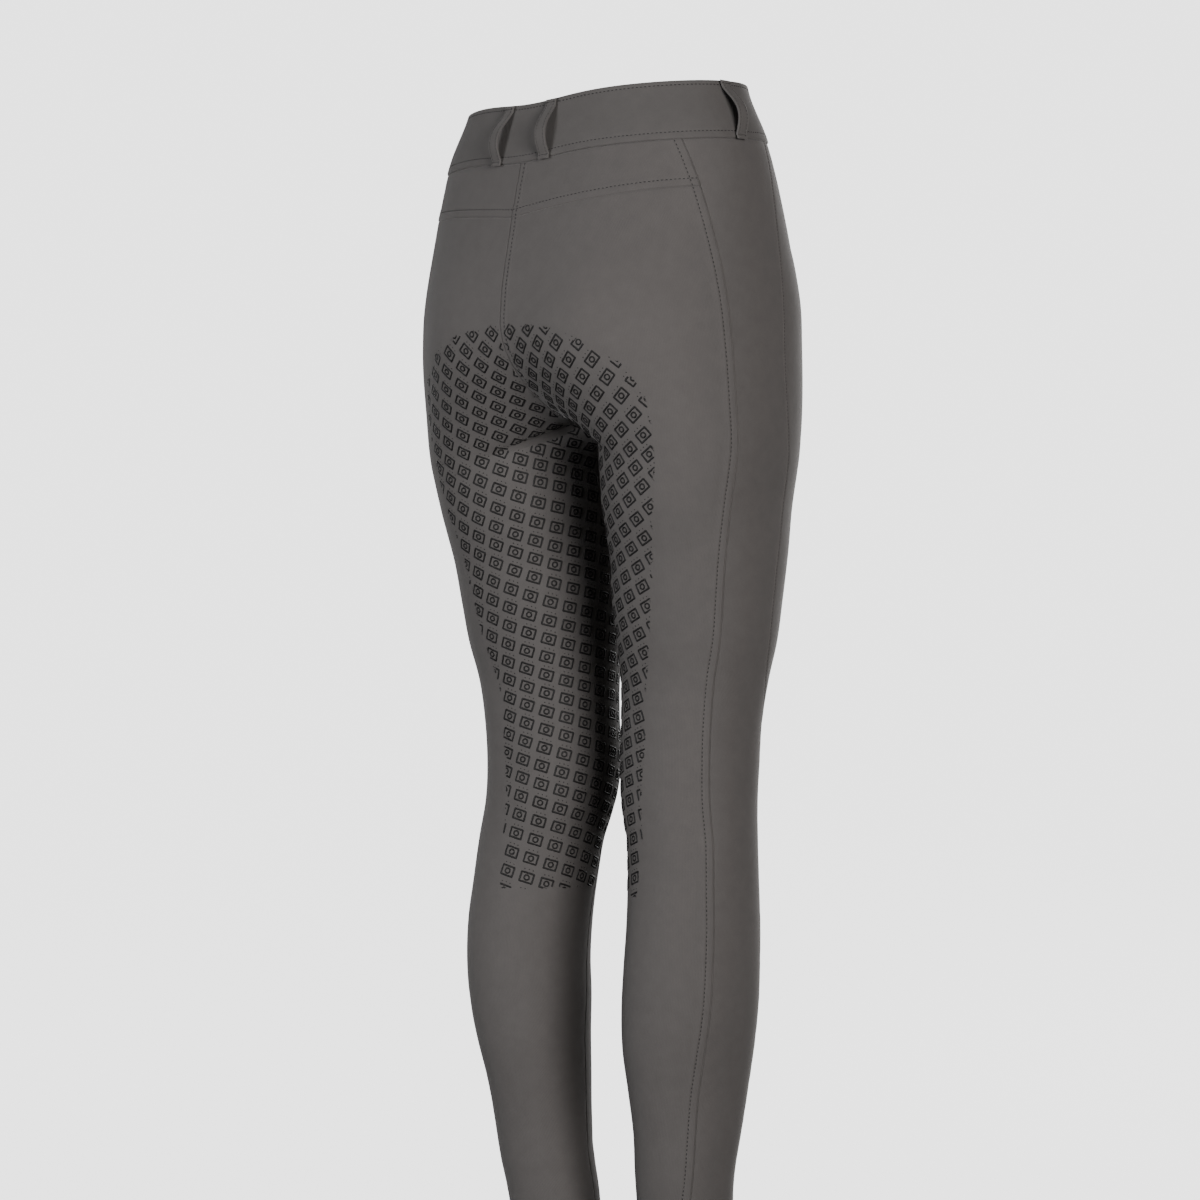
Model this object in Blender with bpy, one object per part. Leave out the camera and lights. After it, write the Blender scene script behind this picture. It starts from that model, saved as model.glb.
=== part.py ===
"""Full-seat riding breeches: a hollow garment of cut and sewn panels, in the shape it is worn.

Frame: +Z up, the front faces -Y, the wearer's left is +X. The origin is the centre of the
waist opening, and the garment hangs below it. Sizes and tables are in millimetres, and the
meshes are made in metres. The garment is symmetric, so its tables give the left half.
"""

import math

import bmesh
import bpy
import numpy as np

MM = 0.001

# Driving dimensions
CLOTH = 1.2  # thickness of the stretch cloth with its seam allowance
SEAM_GAP = 0.3  # space left between two panels where they are sewn together
HEM_Z = -950.0
WAIST_FRONT_RISE = 0.09  # the waist is higher in front by this share of the depth
WAIST_BACK_DIP, WAIST_DIP_WIDTH = 5.0, 45.0
BAND_HEIGHT, BAND_THICKNESS, BAND_PROUD = 46.0, 2.6, 1.2
BAND_UNDERLAP, BAND_OVERLAP = 20.0, 22.0  # how far each end passes the centre front
LAP_CLEARANCE = 0.45  # space between the two ends
LAP_START, LAP_RAMP = 4.0, math.radians(8)  # where and how soon the outer end has risen
YOKE_CENTRE_Z, YOKE_RISE, YOKE_HALF_WIDTH = -102.5, 16.0, 138.0
FRONT_YOKE_LEVEL = -86.0  # level on the front side seam of the row that meets the yoke seam
CROTCH_ROW_Z = -305.0  # level on the outer seams of the row that meets the crotch
LOOP_WIDTH, LOOP_THICKNESS, LOOP_BULGE, LOOP_SEWN = 10.0, 2.0, 10.0, 7.0
LOOP_CLEARANCE, LOOP_BELOW_TOP, LOOP_PAST_SEAM = 0.45, 1.5, 2.5
LOOP_BACK_TURN, LOOP_SIDE_TURN = 75.0, 2.5  # degrees around the waist from the left side
BUTTON_RADIUS, BUTTON_THICKNESS, BUTTON_CLEARANCE = 7.5, 2.4, 0.35

# Body sections from waist to crotch: widest_y is the depth of the widest point, and front
# and back are the depths from there. power is the exponent of the rounded section, 2 = ellipse.
TORSO = (  # z, half_width, widest_y, front, back, power
    (20, 119, -1, 80, 80, 2.1),
    (0, 124, -1, 81, 80.5, 2.1),
    (-43, 141, -1, 90, 91, 2.2),
    (-110, 152.5, -4, 104, 110, 2.25),
    (-172, 159, -11, 106, 127, 2.3),
    (-234, 158, -12, 102, 126, 2.2),
    (-290, 154, -8, 88, 104, 2.2),
)

# Leg sections from hip to hem: the centre of the leg, its half sizes, and its turn outwards.
LEG = (  # z, centre_x, centre_y, half_width, half_depth, turn_deg
    (-150, 84, 0, 74, 108, -3),
    (-200, 87, -5, 74, 104, 2),
    (-240, 88, -6, 72.5, 95, 2),
    (-284, 90, -8, 69, 84, -4),
    (-320, 86.5, -10, 66, 79, -4),
    (-359, 84.5, -14, 63, 71.5, -2),
    (-391, 82, -15, 61, 67.5, 0),
    (-422, 80.6, -16, 58, 62.5, 0),
    (-453, 77.4, -17, 54, 56.3, 0),
    (-484, 74.4, -17, 51.5, 54, 0),
    (-516, 72.3, -17, 51, 53.5, 0),
    (-547, 73.7, -15, 49.5, 52.5, 0),
    (-578, 80, -11, 47.5, 50.3, 0),
    (-609, 83.7, -8, 46, 51.5, 2),
    (-641, 86.5, -5, 45, 53.5, 5),
    (-672, 86.5, -3, 44.5, 54.5, 9),
    (-703, 84.6, -3, 44, 54.5, 11),
    (-734, 82, -4, 41, 52.5, 13),
    (-766, 79, -7, 38, 47.5, 13),
    (-797, 76.7, -9, 36, 42.5, 12),
    (-828, 73.2, -10, 34.5, 39, 10),
    (-859, 69.5, -14, 34, 36.5, 6),
    (-950, 67, -16, 33, 36, 6),
)
LEG_POWER = 2.1
FORK_TOP, FORK_END = -179.0, -289.0  # where the body section becomes the two legs
FORK_ROUNDING = 6.0
FIELD_SCALE = 110.0
LOBE_RISE, LOBE_X, LOBE_Z, LOBE_WIDTH, LOBE_HEIGHT = 5.0, 66.0, -195.0, 40.0, 55.0
FOLD_DEPTH, FOLD_WIDTH = 5.0, 9.0  # the crease under the seat
FOLD_INNER_Z, FOLD_FALL, FOLD_REACH = -254.0, 0.42, 62.0

# How far back each outer seam lies at each level.
SIDE_BACK_SEAM = (  # z, y
    (0, 54), (-43, 51), (-115, 40), (-208, 28), (-344, 21), (-531, 11), (-664, 19),
    (-720, 19), (-859, 11), (-950, 8),
)
FRONT_SIDE_SEAM = (  # z, y
    (0, -31), (-43, -30), (-208, -26), (-312, -36), (-376, -34), (-440, -37), (-480, -50),
    (-547, -57), (-660, -46), (-760, -45), (-859, -42), (-950, -41),
)
INSEAM_SETTLE = 40.0  # how soon the inner leg seam leaves the direction of the crotch
# How far the inner leg seam lies in front of the leg's inner side.
INSEAM = (  # z, forward_deg
    (-250, 0), (-330, 12), (-420, 30), (-520, 38), (-620, 36), (-760, 25), (-950, 15),
)

# Rows from seam to seam, counted down the garment, and columns across each panel.
YOKE_ROWS, SEAT_ROWS, LEG_ROWS = 3, 10, 23
CROTCH_EASE, CROTCH_EASE_REACH = 0.03, 0.05  # rows start closer together under the crotch
BACK_COLUMNS, SIDE_COLUMNS, FRONT_COLUMNS = 11, 4, 10
BAND_ROWS, BAND_COLUMNS = 3, 52

CLOTH_COLOUR = (0.119, 0.109, 0.105, 1.0)
BUTTON_COLOUR = (0.030, 0.028, 0.027, 1.0)


def smooth_step(t):
    t = np.clip(t, 0.0, 1.0)
    return t * t * (3.0 - 2.0 * t)


def read_table(table, z):
    """The table's other columns at level z, on smooth curves through its rows."""
    rows = np.array(table, float)[::-1]
    level, value = rows[:, 0], rows[:, 1:]
    step = np.diff(level)
    slope = np.diff(value, axis=0) / step[:, None]
    tangent = np.zeros_like(value)
    blend = slope[:-1] * step[1:, None] + slope[1:] * step[:-1, None]
    tangent[1:-1] = blend / (step[1:] + step[:-1])[:, None]
    tangent[0], tangent[-1] = slope[0], slope[-1]
    z = np.clip(z, level[0], level[-1])
    i = np.clip(np.searchsorted(level, z) - 1, 0, len(step) - 1)
    t = ((z - level[i]) / step[i])[..., None]
    run = step[i][..., None]
    start = value[i] * (1 + 2 * t) * (1 - t) ** 2 + tangent[i] * run * t * (1 - t) ** 2
    end = value[i + 1] * t * t * (3 - 2 * t) + tangent[i + 1] * run * t * t * (t - 1)
    return np.moveaxis(start + end, -1, 0)


def body_section(x, y, z):
    half_width, widest_y, front, back, power = read_table(TORSO, z)
    depth = np.where(y > widest_y, back, front)
    ratio = (np.abs(x) / half_width) ** power + (np.abs(y - widest_y) / depth) ** power
    return (ratio ** (1 / power) - 1) * FIELD_SCALE


def leg_section(x, y, z):
    centre_x, centre_y, half_width, half_depth, turn = read_table(LEG, z)
    cos, sin = np.cos(np.radians(turn)), np.sin(np.radians(turn))
    dx, dy = x - centre_x, y - centre_y
    across, along = dx * cos + dy * sin, dy * cos - dx * sin
    ratio = (np.abs(across) / half_width) ** LEG_POWER + (np.abs(along) / half_depth) ** LEG_POWER
    return (ratio ** (1 / LEG_POWER) - 1) * half_width


def seat_relief(x, y, z):
    """The two rounds of the seat, less the crease under each."""
    behind = smooth_step(y / 40)
    across = (np.abs(x) - LOBE_X) / LOBE_WIDTH
    lobes = np.exp(-across ** 2 - ((z - LOBE_Z) / LOBE_HEIGHT) ** 2)
    crease_z = FOLD_INNER_Z - FOLD_FALL * np.abs(x)
    fade = np.exp(-(x / FOLD_REACH) ** 4)
    crease = fade * np.exp(-((z - crease_z) / FOLD_WIDTH) ** 2)
    return behind * (LOBE_RISE * lobes - FOLD_DEPTH * crease)


def field(x, y, z):
    """Negative inside the garment, zero on the middle of its cloth, positive outside."""
    left, right = leg_section(x, y, z), leg_section(-x, y, z)
    nearer = np.minimum(left, right)
    spread = np.abs(left - right) / FORK_ROUNDING
    legs = nearer - FORK_ROUNDING * np.log1p(np.exp(-spread))
    share = smooth_step((FORK_TOP - z) / (FORK_TOP - FORK_END))
    return (1 - share) * body_section(x, y, z) + share * legs - seat_relief(x, y, z)


def field_normal(points):
    """Unit vectors out of the cloth at an array of points."""
    step = 0.4
    parts = []
    for k in range(3):
        offset = np.zeros(3)
        offset[k] = step
        ahead, behind = points + offset, points - offset
        parts.append(
            field(ahead[..., 0], ahead[..., 1], ahead[..., 2])
            - field(behind[..., 0], behind[..., 1], behind[..., 2])
        )
    normal = np.stack(parts, -1)
    return normal / np.linalg.norm(normal, axis=-1, keepdims=True)


def cross_out(start, direction, far):
    """Where rays from inside the garment pass out through its surface."""
    near = np.zeros(start.shape[:-1])
    far = np.broadcast_to(far, near.shape).astype(float)
    for _ in range(40):
        middle = (near + far) / 2
        point = start + direction * middle[..., None]
        inside = field(point[..., 0], point[..., 1], point[..., 2]) < 0
        near, far = np.where(inside, middle, near), np.where(inside, far, middle)
    return start + direction * ((near + far) / 2)[..., None]


def leg_axis(z):
    """The line inside each half that its sections are drawn around."""
    centre_x, centre_y = read_table(LEG, z)[:2]
    rise = smooth_step((z + 150) / 150)
    return centre_x * (1 - rise) + 62 * rise, centre_y * (1 - rise)


def surface(angle, z):
    """Points at level z, in directions from outwards (0) through the back (90 degrees)."""
    x, y = leg_axis(z)
    direction = np.stack([np.cos(angle), np.sin(angle), 0 * angle], -1)
    to_middle = np.where(direction[..., 0] < -1e-6, x / np.maximum(-direction[..., 0], 1e-6), 260)
    return cross_out(np.stack([x, y, z], -1), direction, np.minimum(to_middle, 260))


def angle_of(point):
    x, y = leg_axis(point[..., 2])
    return np.arctan2(point[..., 1] - y, point[..., 0] - x)


def side_point(table, z):
    """The point of an outer seam at level z."""
    y = read_table(table, z)[0]
    x = leg_axis(z)[0]
    start = np.stack([x, y, z], -1)
    return cross_out(start, np.array([1.0, 0.0, 0.0]), 260)


def top_edge(x, y):
    dip = WAIST_BACK_DIP * np.exp(-(x / WAIST_DIP_WIDTH) ** 2) * smooth_step(y / 40)
    return -WAIST_FRONT_RISE * y - dip


def waist_seam(x, y):
    return top_edge(x, y) - BAND_HEIGHT


def yoke_seam(x, y):
    return YOKE_CENTRE_Z + YOKE_RISE * np.abs(x) / YOKE_HALF_WIDTH + 0 * y


def on_edge(edge, find, guess):
    """The level where a curve on the surface meets an edge whose height depends on the point."""
    z = guess + 0.0 * edge(0.0, 0.0)
    for _ in range(12):
        point = find(z)
        z = edge(point[..., 0], point[..., 1])
    return z


def middle_curve(back, edge, steps):
    """Even points of the middle seam, from an edge at the waist down to the crotch."""
    side = 1.0 if back else -1.0
    centre = np.array([0.0, 0.0, -150.0])
    turn = np.linspace(math.radians(70), -math.pi / 2, 500)
    direction = np.stack([0 * turn, side * np.cos(turn), np.sin(turn)], -1)
    curve = cross_out(np.broadcast_to(centre, direction.shape), direction, 300)
    lowest = np.argmin(curve[:, 2])
    curve = curve[: lowest + 1]
    curve = curve[curve[:, 2] <= edge(curve[:, 0], curve[:, 1])]
    length = np.concatenate([[0], np.cumsum(np.linalg.norm(np.diff(curve, axis=0), axis=1))])
    even = np.linspace(0, length[-1], steps + 1)
    return np.stack([np.interp(even, length, curve[:, k]) for k in range(3)], -1)


def outer_levels(table):
    """Levels of every row on an outer seam, from the waist seam down to the hem."""
    top = on_edge(waist_seam, lambda z: side_point(table, z), -45.0)
    if table is SIDE_BACK_SEAM:
        yoke = on_edge(yoke_seam, lambda z: side_point(table, z), -87.0)
    else:
        yoke = FRONT_YOKE_LEVEL
    leg = np.linspace(0, 1, LEG_ROWS + 1)
    return np.concatenate([
        np.linspace(top, yoke, YOKE_ROWS + 1)[:-1],
        np.linspace(yoke, CROTCH_ROW_Z, SEAT_ROWS + 1)[:-1],
        CROTCH_ROW_Z + (HEM_Z - CROTCH_ROW_Z) * leg,
    ])


def inner_angle_of(point, back):
    """The direction of a point on the inner side, counted through the back or the front."""
    turn = np.mod(angle_of(point), 2 * math.pi)
    return turn if back else turn - 2 * math.pi


def inner_edge(back, edge, rows):
    """The middle seam down to the crotch and then the inner leg seam, as (points, angles)."""
    middle = middle_curve(back, edge, rows)
    middle[-1] = crotch = middle_curve(True, yoke_seam, 4)[-1]
    share = np.linspace(0, 1, LEG_ROWS + 1)[1:]
    share = share - CROTCH_EASE * (1 - np.exp(-share / CROTCH_EASE_REACH)) * (1 - share)
    z = crotch[2] + (HEM_Z - crotch[2]) * share
    straight_in = math.pi if back else -math.pi
    settle = np.exp(-(crotch[2] - z) / INSEAM_SETTLE)
    off_crotch = inner_angle_of(crotch, back) - straight_in
    angle = straight_in + np.radians(read_table(INSEAM, z)[0]) + off_crotch * settle
    middle_angle = inner_angle_of(middle, back)
    return np.concatenate([middle, surface(angle, z)]), np.concatenate([middle_angle, angle])


def panel_between(outer, outer_angle, inner, inner_angle, columns):
    """A grid of surface points, a row from each outer point to its inner point."""
    share = np.linspace(0, 1, columns + 1)[None, :]
    z = outer[:, None, 2] * (1 - share) + inner[:, None, 2] * share
    angle = outer_angle[:, None] * (1 - share) + inner_angle[:, None] * share
    grid = surface(angle, z)
    grid[:, 0], grid[:, -1] = outer, inner
    return grid


def back_grid():
    z = outer_levels(SIDE_BACK_SEAM)[YOKE_ROWS:]
    outer = side_point(SIDE_BACK_SEAM, z)
    inner, inner_angle = inner_edge(True, yoke_seam, SEAT_ROWS)
    grid = panel_between(outer, angle_of(outer), inner, inner_angle, BACK_COLUMNS)
    grid[0] = edge_row(yoke_seam, angle_of(outer[0]), angle_of(inner[0]), BACK_COLUMNS)
    return grid


def edge_row(edge, first_angle, last_angle, columns):
    """Points along a seam that crosses the panel."""
    angle = np.linspace(first_angle, last_angle, columns + 1)
    z = on_edge(edge, lambda level: surface(angle, level), np.full(columns + 1, -60.0))
    return surface(angle, z)


def yoke_grid():
    seam = side_point(SIDE_BACK_SEAM, outer_levels(SIDE_BACK_SEAM)[: YOKE_ROWS + 1])
    middle = middle_curve(True, waist_seam, 200)
    bottom = middle_curve(True, yoke_seam, 4)[0]
    z = np.linspace(middle[0, 2], bottom[2], YOKE_ROWS + 1)
    depth = np.interp(-z, -middle[:, 2], middle[:, 1])
    inner = np.stack([0 * z, depth, z], -1)
    grid = panel_between(seam, angle_of(seam), inner, angle_of(inner), BACK_COLUMNS)
    for row, edge in ((0, waist_seam), (-1, yoke_seam)):
        grid[row] = edge_row(edge, angle_of(seam[row]), angle_of(inner[row]), BACK_COLUMNS)
    return grid


def side_grid():
    z_back, z_front = outer_levels(SIDE_BACK_SEAM), outer_levels(FRONT_SIDE_SEAM)
    back, front = side_point(SIDE_BACK_SEAM, z_back), side_point(FRONT_SIDE_SEAM, z_front)
    grid = panel_between(front, angle_of(front), back, angle_of(back), SIDE_COLUMNS)
    grid[0] = edge_row(waist_seam, angle_of(front[0]), angle_of(back[0]), SIDE_COLUMNS)
    return grid


def front_grid():
    outer = side_point(FRONT_SIDE_SEAM, outer_levels(FRONT_SIDE_SEAM))
    inner, inner_angle = inner_edge(False, waist_seam, YOKE_ROWS + SEAT_ROWS)
    grid = panel_between(outer, angle_of(outer), inner, inner_angle, FRONT_COLUMNS)
    grid[0] = edge_row(waist_seam, angle_of(outer[0]), angle_of(inner[0]), FRONT_COLUMNS)
    return grid


def round_waist(angle, level):
    """Points of the waist at a turn around its middle: 0 is the wearer's left, 90 the back."""
    middle = np.stack([0 * level, 0 * level, level], -1)
    direction = np.stack([np.cos(angle), np.sin(angle), 0 * angle], -1)
    return cross_out(middle, direction, 260)


def waist_column(angle, rows):
    """Points of the waistband at one turn, from its seam up to its top edge."""
    levels = []
    for edge in (waist_seam, top_edge):
        levels.append(on_edge(edge, lambda z: round_waist(angle, z), np.zeros_like(angle)))
    share = np.linspace(0, 1, rows + 1)[:, None]
    z = levels[0][None] * (1 - share) + levels[1][None] * share
    return round_waist(np.broadcast_to(angle, z.shape), z)


def inset_edges(grid):
    """The grid with its four edges moved in by half the gap that a seam leaves."""
    grid = grid.copy()
    for _ in range(2):
        for edge, inside in ((0, 1), (-1, -2)):
            inward = grid[inside] - grid[edge]
            inward /= np.linalg.norm(inward, axis=-1, keepdims=True)
            grid[edge] += inward * SEAM_GAP / 2
        grid = grid.swapaxes(0, 1)
    return grid


def middle_plane(grid, gap=SEAM_GAP / 2):
    """Keeps the column on the middle seam clear of the other half."""
    grid[..., 0] = np.maximum(grid[..., 0], gap)
    return grid


# Blender objects


def material(name, colour, roughness, sheen=0.0):
    made = bpy.data.materials.new(name)
    made.use_nodes = True
    shader = made.node_tree.nodes["Principled BSDF"]
    shader.inputs["Base Color"].default_value = colour
    shader.inputs["Roughness"].default_value = roughness
    shader.inputs["Metallic"].default_value = 0.0
    shader.inputs["Sheen Weight"].default_value = sheen
    made.diffuse_color = colour
    return made


def add_object(name, points, faces, colour=CLOTH_COLOUR, roughness=0.85):
    """A closed mesh from points in millimetres, with its own material."""
    mesh = bpy.data.meshes.new(name)
    mesh.from_pydata((points * MM).tolist(), [], faces)
    shell = bmesh.new()
    shell.from_mesh(mesh)
    bmesh.ops.triangulate(shell, faces=shell.faces)
    bmesh.ops.recalc_face_normals(shell, faces=shell.faces)
    shell.to_mesh(mesh)
    shell.free()
    mesh.shade_smooth()
    mesh.set_sharp_from_angle(angle=math.radians(40))
    mesh.materials.append(material(name + "_finish", colour, roughness))
    made = bpy.data.objects.new(name, mesh)
    bpy.context.collection.objects.link(made)
    return made


def wall_faces(rows, columns):
    """Faces of a wall: its outer grid, its inner grid and the rim that joins them."""
    inner = rows * columns
    faces = []
    for i in range(rows - 1):
        for j in range(columns - 1):
            a, b = i * columns + j, i * columns + j + 1
            c, d = a + columns + 1, a + columns
            faces += [(a, b, c, d), (inner + d, inner + c, inner + b, inner + a)]
    top = list(range(columns))
    right = [i * columns + columns - 1 for i in range(rows)]
    bottom = [(rows - 1) * columns + j for j in range(columns)]
    left = [i * columns for i in range(rows)]
    for edge, turned in ((top, True), (right, True), (bottom, False), (left, False)):
        for a, b in zip(edge, edge[1:]):
            rim = (a, b, inner + b, inner + a)
            faces.append(rim[::-1] if turned else rim)
    return faces


def add_wall(name, grid, normal, thickness, outward=0.0, mirrored=False):
    """A wall of even thickness about a grid of points, moved outward from it."""
    grid, normal = grid.copy(), normal.copy()
    if mirrored:
        grid[..., 0] *= -1
        normal[..., 0] *= -1
    outer = grid + normal * (outward + thickness / 2)
    inner = grid + normal * (outward - thickness / 2)
    points = np.concatenate([outer.reshape(-1, 3), inner.reshape(-1, 3)])
    return add_object(name, points, wall_faces(*grid.shape[:2]))


def add_panel_pair(name, grid):
    normal = field_normal(grid)
    grid = middle_plane(inset_edges(grid))
    # On the middle seam the two halves' walls stand side by side.
    on_middle = grid[..., 0] < SEAM_GAP
    normal[on_middle, 0] = 0.0
    normal /= np.linalg.norm(normal, axis=-1, keepdims=True)
    add_wall(name + "_left", grid, normal, CLOTH)
    add_wall(name + "_right", grid, normal, CLOTH, mirrored=True)


def front_angle(x):
    """The turn around the waist at which its front lies this far to the left of the middle."""
    return -math.pi / 2 + math.asin(x / TORSO[1][3])


def band_outer_offset():
    return CLOTH / 2 + BAND_PROUD


def add_waistband():
    """One strip around the waist. Its ends pass each other in front, the right one outside."""
    start, end = front_angle(-BAND_UNDERLAP), front_angle(BAND_OVERLAP) + 2 * math.pi
    angle = np.linspace(start, end, BAND_COLUMNS + 1)
    grid = inset_edges(waist_column(angle, BAND_ROWS))
    normal = field_normal(grid)
    meet = front_angle(-BAND_UNDERLAP - LAP_START) + 2 * math.pi
    ramp = smooth_step((angle - meet + LAP_RAMP) / LAP_RAMP)
    lift = ramp * (BAND_THICKNESS + LAP_CLEARANCE)
    outward = band_outer_offset() - BAND_THICKNESS / 2
    add_wall("waistband", grid + normal * lift[None, :, None], normal, BAND_THICKNESS, outward)


def loop_profile(height):
    """A loop's path down the band as (distance down, distance out): sewn, arched, sewn."""
    flat = LOOP_CLEARANCE + LOOP_THICKNESS / 2
    arch = np.linspace(0, 1, 9)[1:-1]
    run = height - 2 * LOOP_SEWN
    down = [0.0, LOOP_SEWN * 0.85]
    out = [flat, flat]
    for t in arch:
        down.append(LOOP_SEWN + run * t)
        out.append(flat + (LOOP_BULGE - LOOP_THICKNESS) * math.sin(math.pi * t) ** 0.8)
    down += [height - LOOP_SEWN * 0.85, height]
    out += [flat, flat]
    return np.array(down), np.array(out)


def add_belt_loop(name, centre_angle, mirrored=False):
    """An arched strip over the waistband, its ends sewn at the top edge and at the seam."""
    column = waist_column(np.array([centre_angle]), 1)[:, 0]
    top, bottom = column[1], column[0]
    height = np.linalg.norm(top - bottom) + LOOP_PAST_SEAM - LOOP_BELOW_TOP
    down, out = loop_profile(height)
    middle = (top + bottom) / 2
    normal = field_normal(middle)
    along = (bottom - top) / np.linalg.norm(bottom - top)
    normal = normal - along * (normal @ along)
    normal /= np.linalg.norm(normal)
    across = np.cross(along, normal)
    # The band bows between its edges, so the loop starts clear of its proudest point.
    bow = np.max((waist_column(np.array([centre_angle]), 12)[:, 0] - top) @ normal)
    start = top + along * LOOP_BELOW_TOP + normal * (band_outer_offset() + max(bow, 0.0))
    path = start + along * down[:, None] + normal * out[:, None]
    tangent = np.gradient(path, axis=0)
    path_normal = np.cross(tangent, across)
    path_normal *= np.sign(path_normal @ normal)[:, None]
    path_normal /= np.linalg.norm(path_normal, axis=1, keepdims=True)
    sides = np.array([-0.5, 0.5]) * LOOP_WIDTH
    grid = path[:, None] + across * sides[None, :, None]
    normals = np.repeat(path_normal[:, None], 2, axis=1)
    add_wall(name, grid, normals, LOOP_THICKNESS, mirrored=mirrored)


def add_button():
    """The button on the outer end of the waistband, at the centre front."""
    column = waist_column(np.array([front_angle(0.0)]), 2)[:, 0]
    normal = field_normal(column[1])
    lift = band_outer_offset() + BAND_THICKNESS + LAP_CLEARANCE + BUTTON_CLEARANCE
    disc = bmesh.new()
    bmesh.ops.create_cone(
        disc, cap_ends=True, segments=28, radius1=BUTTON_RADIUS * MM, radius2=BUTTON_RADIUS * MM,
        depth=BUTTON_THICKNESS * MM,
    )
    mesh = bpy.data.meshes.new("waist_button")
    disc.to_mesh(mesh)
    disc.free()
    mesh.materials.append(material("waist_button_finish", BUTTON_COLOUR, 0.4))
    button = bpy.data.objects.new("waist_button", mesh)
    bpy.context.collection.objects.link(button)
    centre = column[1] + normal * (lift + BUTTON_THICKNESS / 2)
    button.location = centre * MM
    button.rotation_euler = (math.atan2(-normal[1], normal[2]), 0.0, 0.0)
    bevel = button.modifiers.new("rounded_rim", "BEVEL")
    bevel.width = 0.6 * MM
    bevel.segments = 2
    mesh.shade_smooth()
    mesh.set_sharp_from_angle(angle=math.radians(40))


def main():
    for thing in list(bpy.data.objects):
        bpy.data.objects.remove(thing)
    add_panel_pair("yoke", yoke_grid())
    add_panel_pair("back", back_grid())
    add_panel_pair("side", side_grid())
    add_panel_pair("front", front_grid())
    add_waistband()
    for place, turn in (("back", LOOP_BACK_TURN), ("side", LOOP_SIDE_TURN)):
        add_belt_loop("loop_" + place + "_left", math.radians(turn))
        add_belt_loop("loop_" + place + "_right", math.radians(turn), mirrored=True)
    add_button()


main()
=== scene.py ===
import math

import bpy
import numpy as np
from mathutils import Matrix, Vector
from mathutils.bvhtree import BVHTree


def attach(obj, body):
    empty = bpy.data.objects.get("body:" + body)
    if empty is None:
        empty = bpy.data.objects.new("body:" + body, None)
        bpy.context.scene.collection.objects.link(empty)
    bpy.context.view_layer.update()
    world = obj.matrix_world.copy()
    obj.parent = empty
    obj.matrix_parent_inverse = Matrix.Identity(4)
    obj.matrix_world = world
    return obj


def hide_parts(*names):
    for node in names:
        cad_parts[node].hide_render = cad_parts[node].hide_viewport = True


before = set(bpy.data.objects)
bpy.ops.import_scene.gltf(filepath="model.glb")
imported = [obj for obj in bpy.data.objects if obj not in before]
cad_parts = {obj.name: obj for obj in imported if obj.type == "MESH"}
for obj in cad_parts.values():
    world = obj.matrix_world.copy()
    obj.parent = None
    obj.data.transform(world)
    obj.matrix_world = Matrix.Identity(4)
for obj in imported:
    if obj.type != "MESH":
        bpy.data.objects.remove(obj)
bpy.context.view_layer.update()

# Full-seat riding breeches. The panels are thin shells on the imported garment's form, with
# turned seam edges, soft creases, sewn stitches and a raised grip print on the seat.
# Sizes and tables are in millimetres, and the meshes are made in metres.
MM = 0.001

CLOTH = 1.2
HEM_Z = -950.0
WAIST_FRONT_RISE = 0.09
WAIST_BACK_DIP, WAIST_DIP_WIDTH = 5.0, 45.0
BAND_HEIGHT, BAND_THICKNESS, BAND_PROUD = 46.0, 2.6, 1.2
BAND_OUTER = CLOTH / 2 + BAND_PROUD  # from the middle of the panels' cloth to the band's outside
BAND_FOLD = 1.3  # radius of its folded edges
BAND_ROW_TOP, BAND_ROW_BOTTOM = 4.0, 5.5  # its rows of stitches, from its edges
BAND_UNDERLAP, BAND_OVERLAP = 20.0, 22.0
BAND_LIFT = 2.9  # how far the lapped end of the band stands out over the other end
LAP_START, LAP_RAMP = 4.0, 8.0  # it has risen so far before the other end, over so many degrees
YOKE_CENTRE_Z, YOKE_RISE, YOKE_HALF_WIDTH = -102.5, 16.0, 138.0
FRONT_YOKE_LEVEL = -86.0
CROTCH_ROW_Z = -305.0
LOOP_WIDTH, LOOP_THICKNESS, LOOP_BULGE, LOOP_SEWN = 10.0, 2.0, 10.0, 7.0
LOOP_CLEARANCE, LOOP_PAST_SEAM, LOOP_BELOW_TOP = 0.45, 2.5, 1.5
LOOP_BACK_TURN, LOOP_SIDE_TURN = 75.0, 2.5  # in degrees, from the wearer's left to the back
LOOP_SAG = 1.3  # above 1, a belt loop stands out most below its middle
LOOP_ROW, LOOP_TACK = 1.7, 3.2  # its rows of stitches, from its sides and from its ends
BUTTON_RADIUS, BUTTON_THICKNESS, BUTTON_GAP = 7.5, 2.4, 0.35
BUTTON_HOLES, BUTTON_THREADS = 1.15, 0.28  # from the middle to a hole, and thread to thread
BUTTONHOLE_LENGTH, BUTTONHOLE_WIDTH = 22.0, 3.0

# Body sections from waist to crotch: widest_y is the depth of the widest point, and front
# and back are the depths from there. power is the exponent of the rounded section, 2 = ellipse.
TORSO = (  # z, half_width, widest_y, front, back, power
    (20, 119, -1, 80, 80, 2.1),
    (0, 124, -1, 81, 80.5, 2.1),
    (-43, 141, -1, 90, 91, 2.2),
    (-110, 152.5, -4, 104, 110, 2.25),
    (-172, 159, -11, 106, 127, 2.3),
    (-234, 158, -12, 102, 126, 2.2),
    (-290, 154, -8, 88, 104, 2.2),
)

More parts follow.
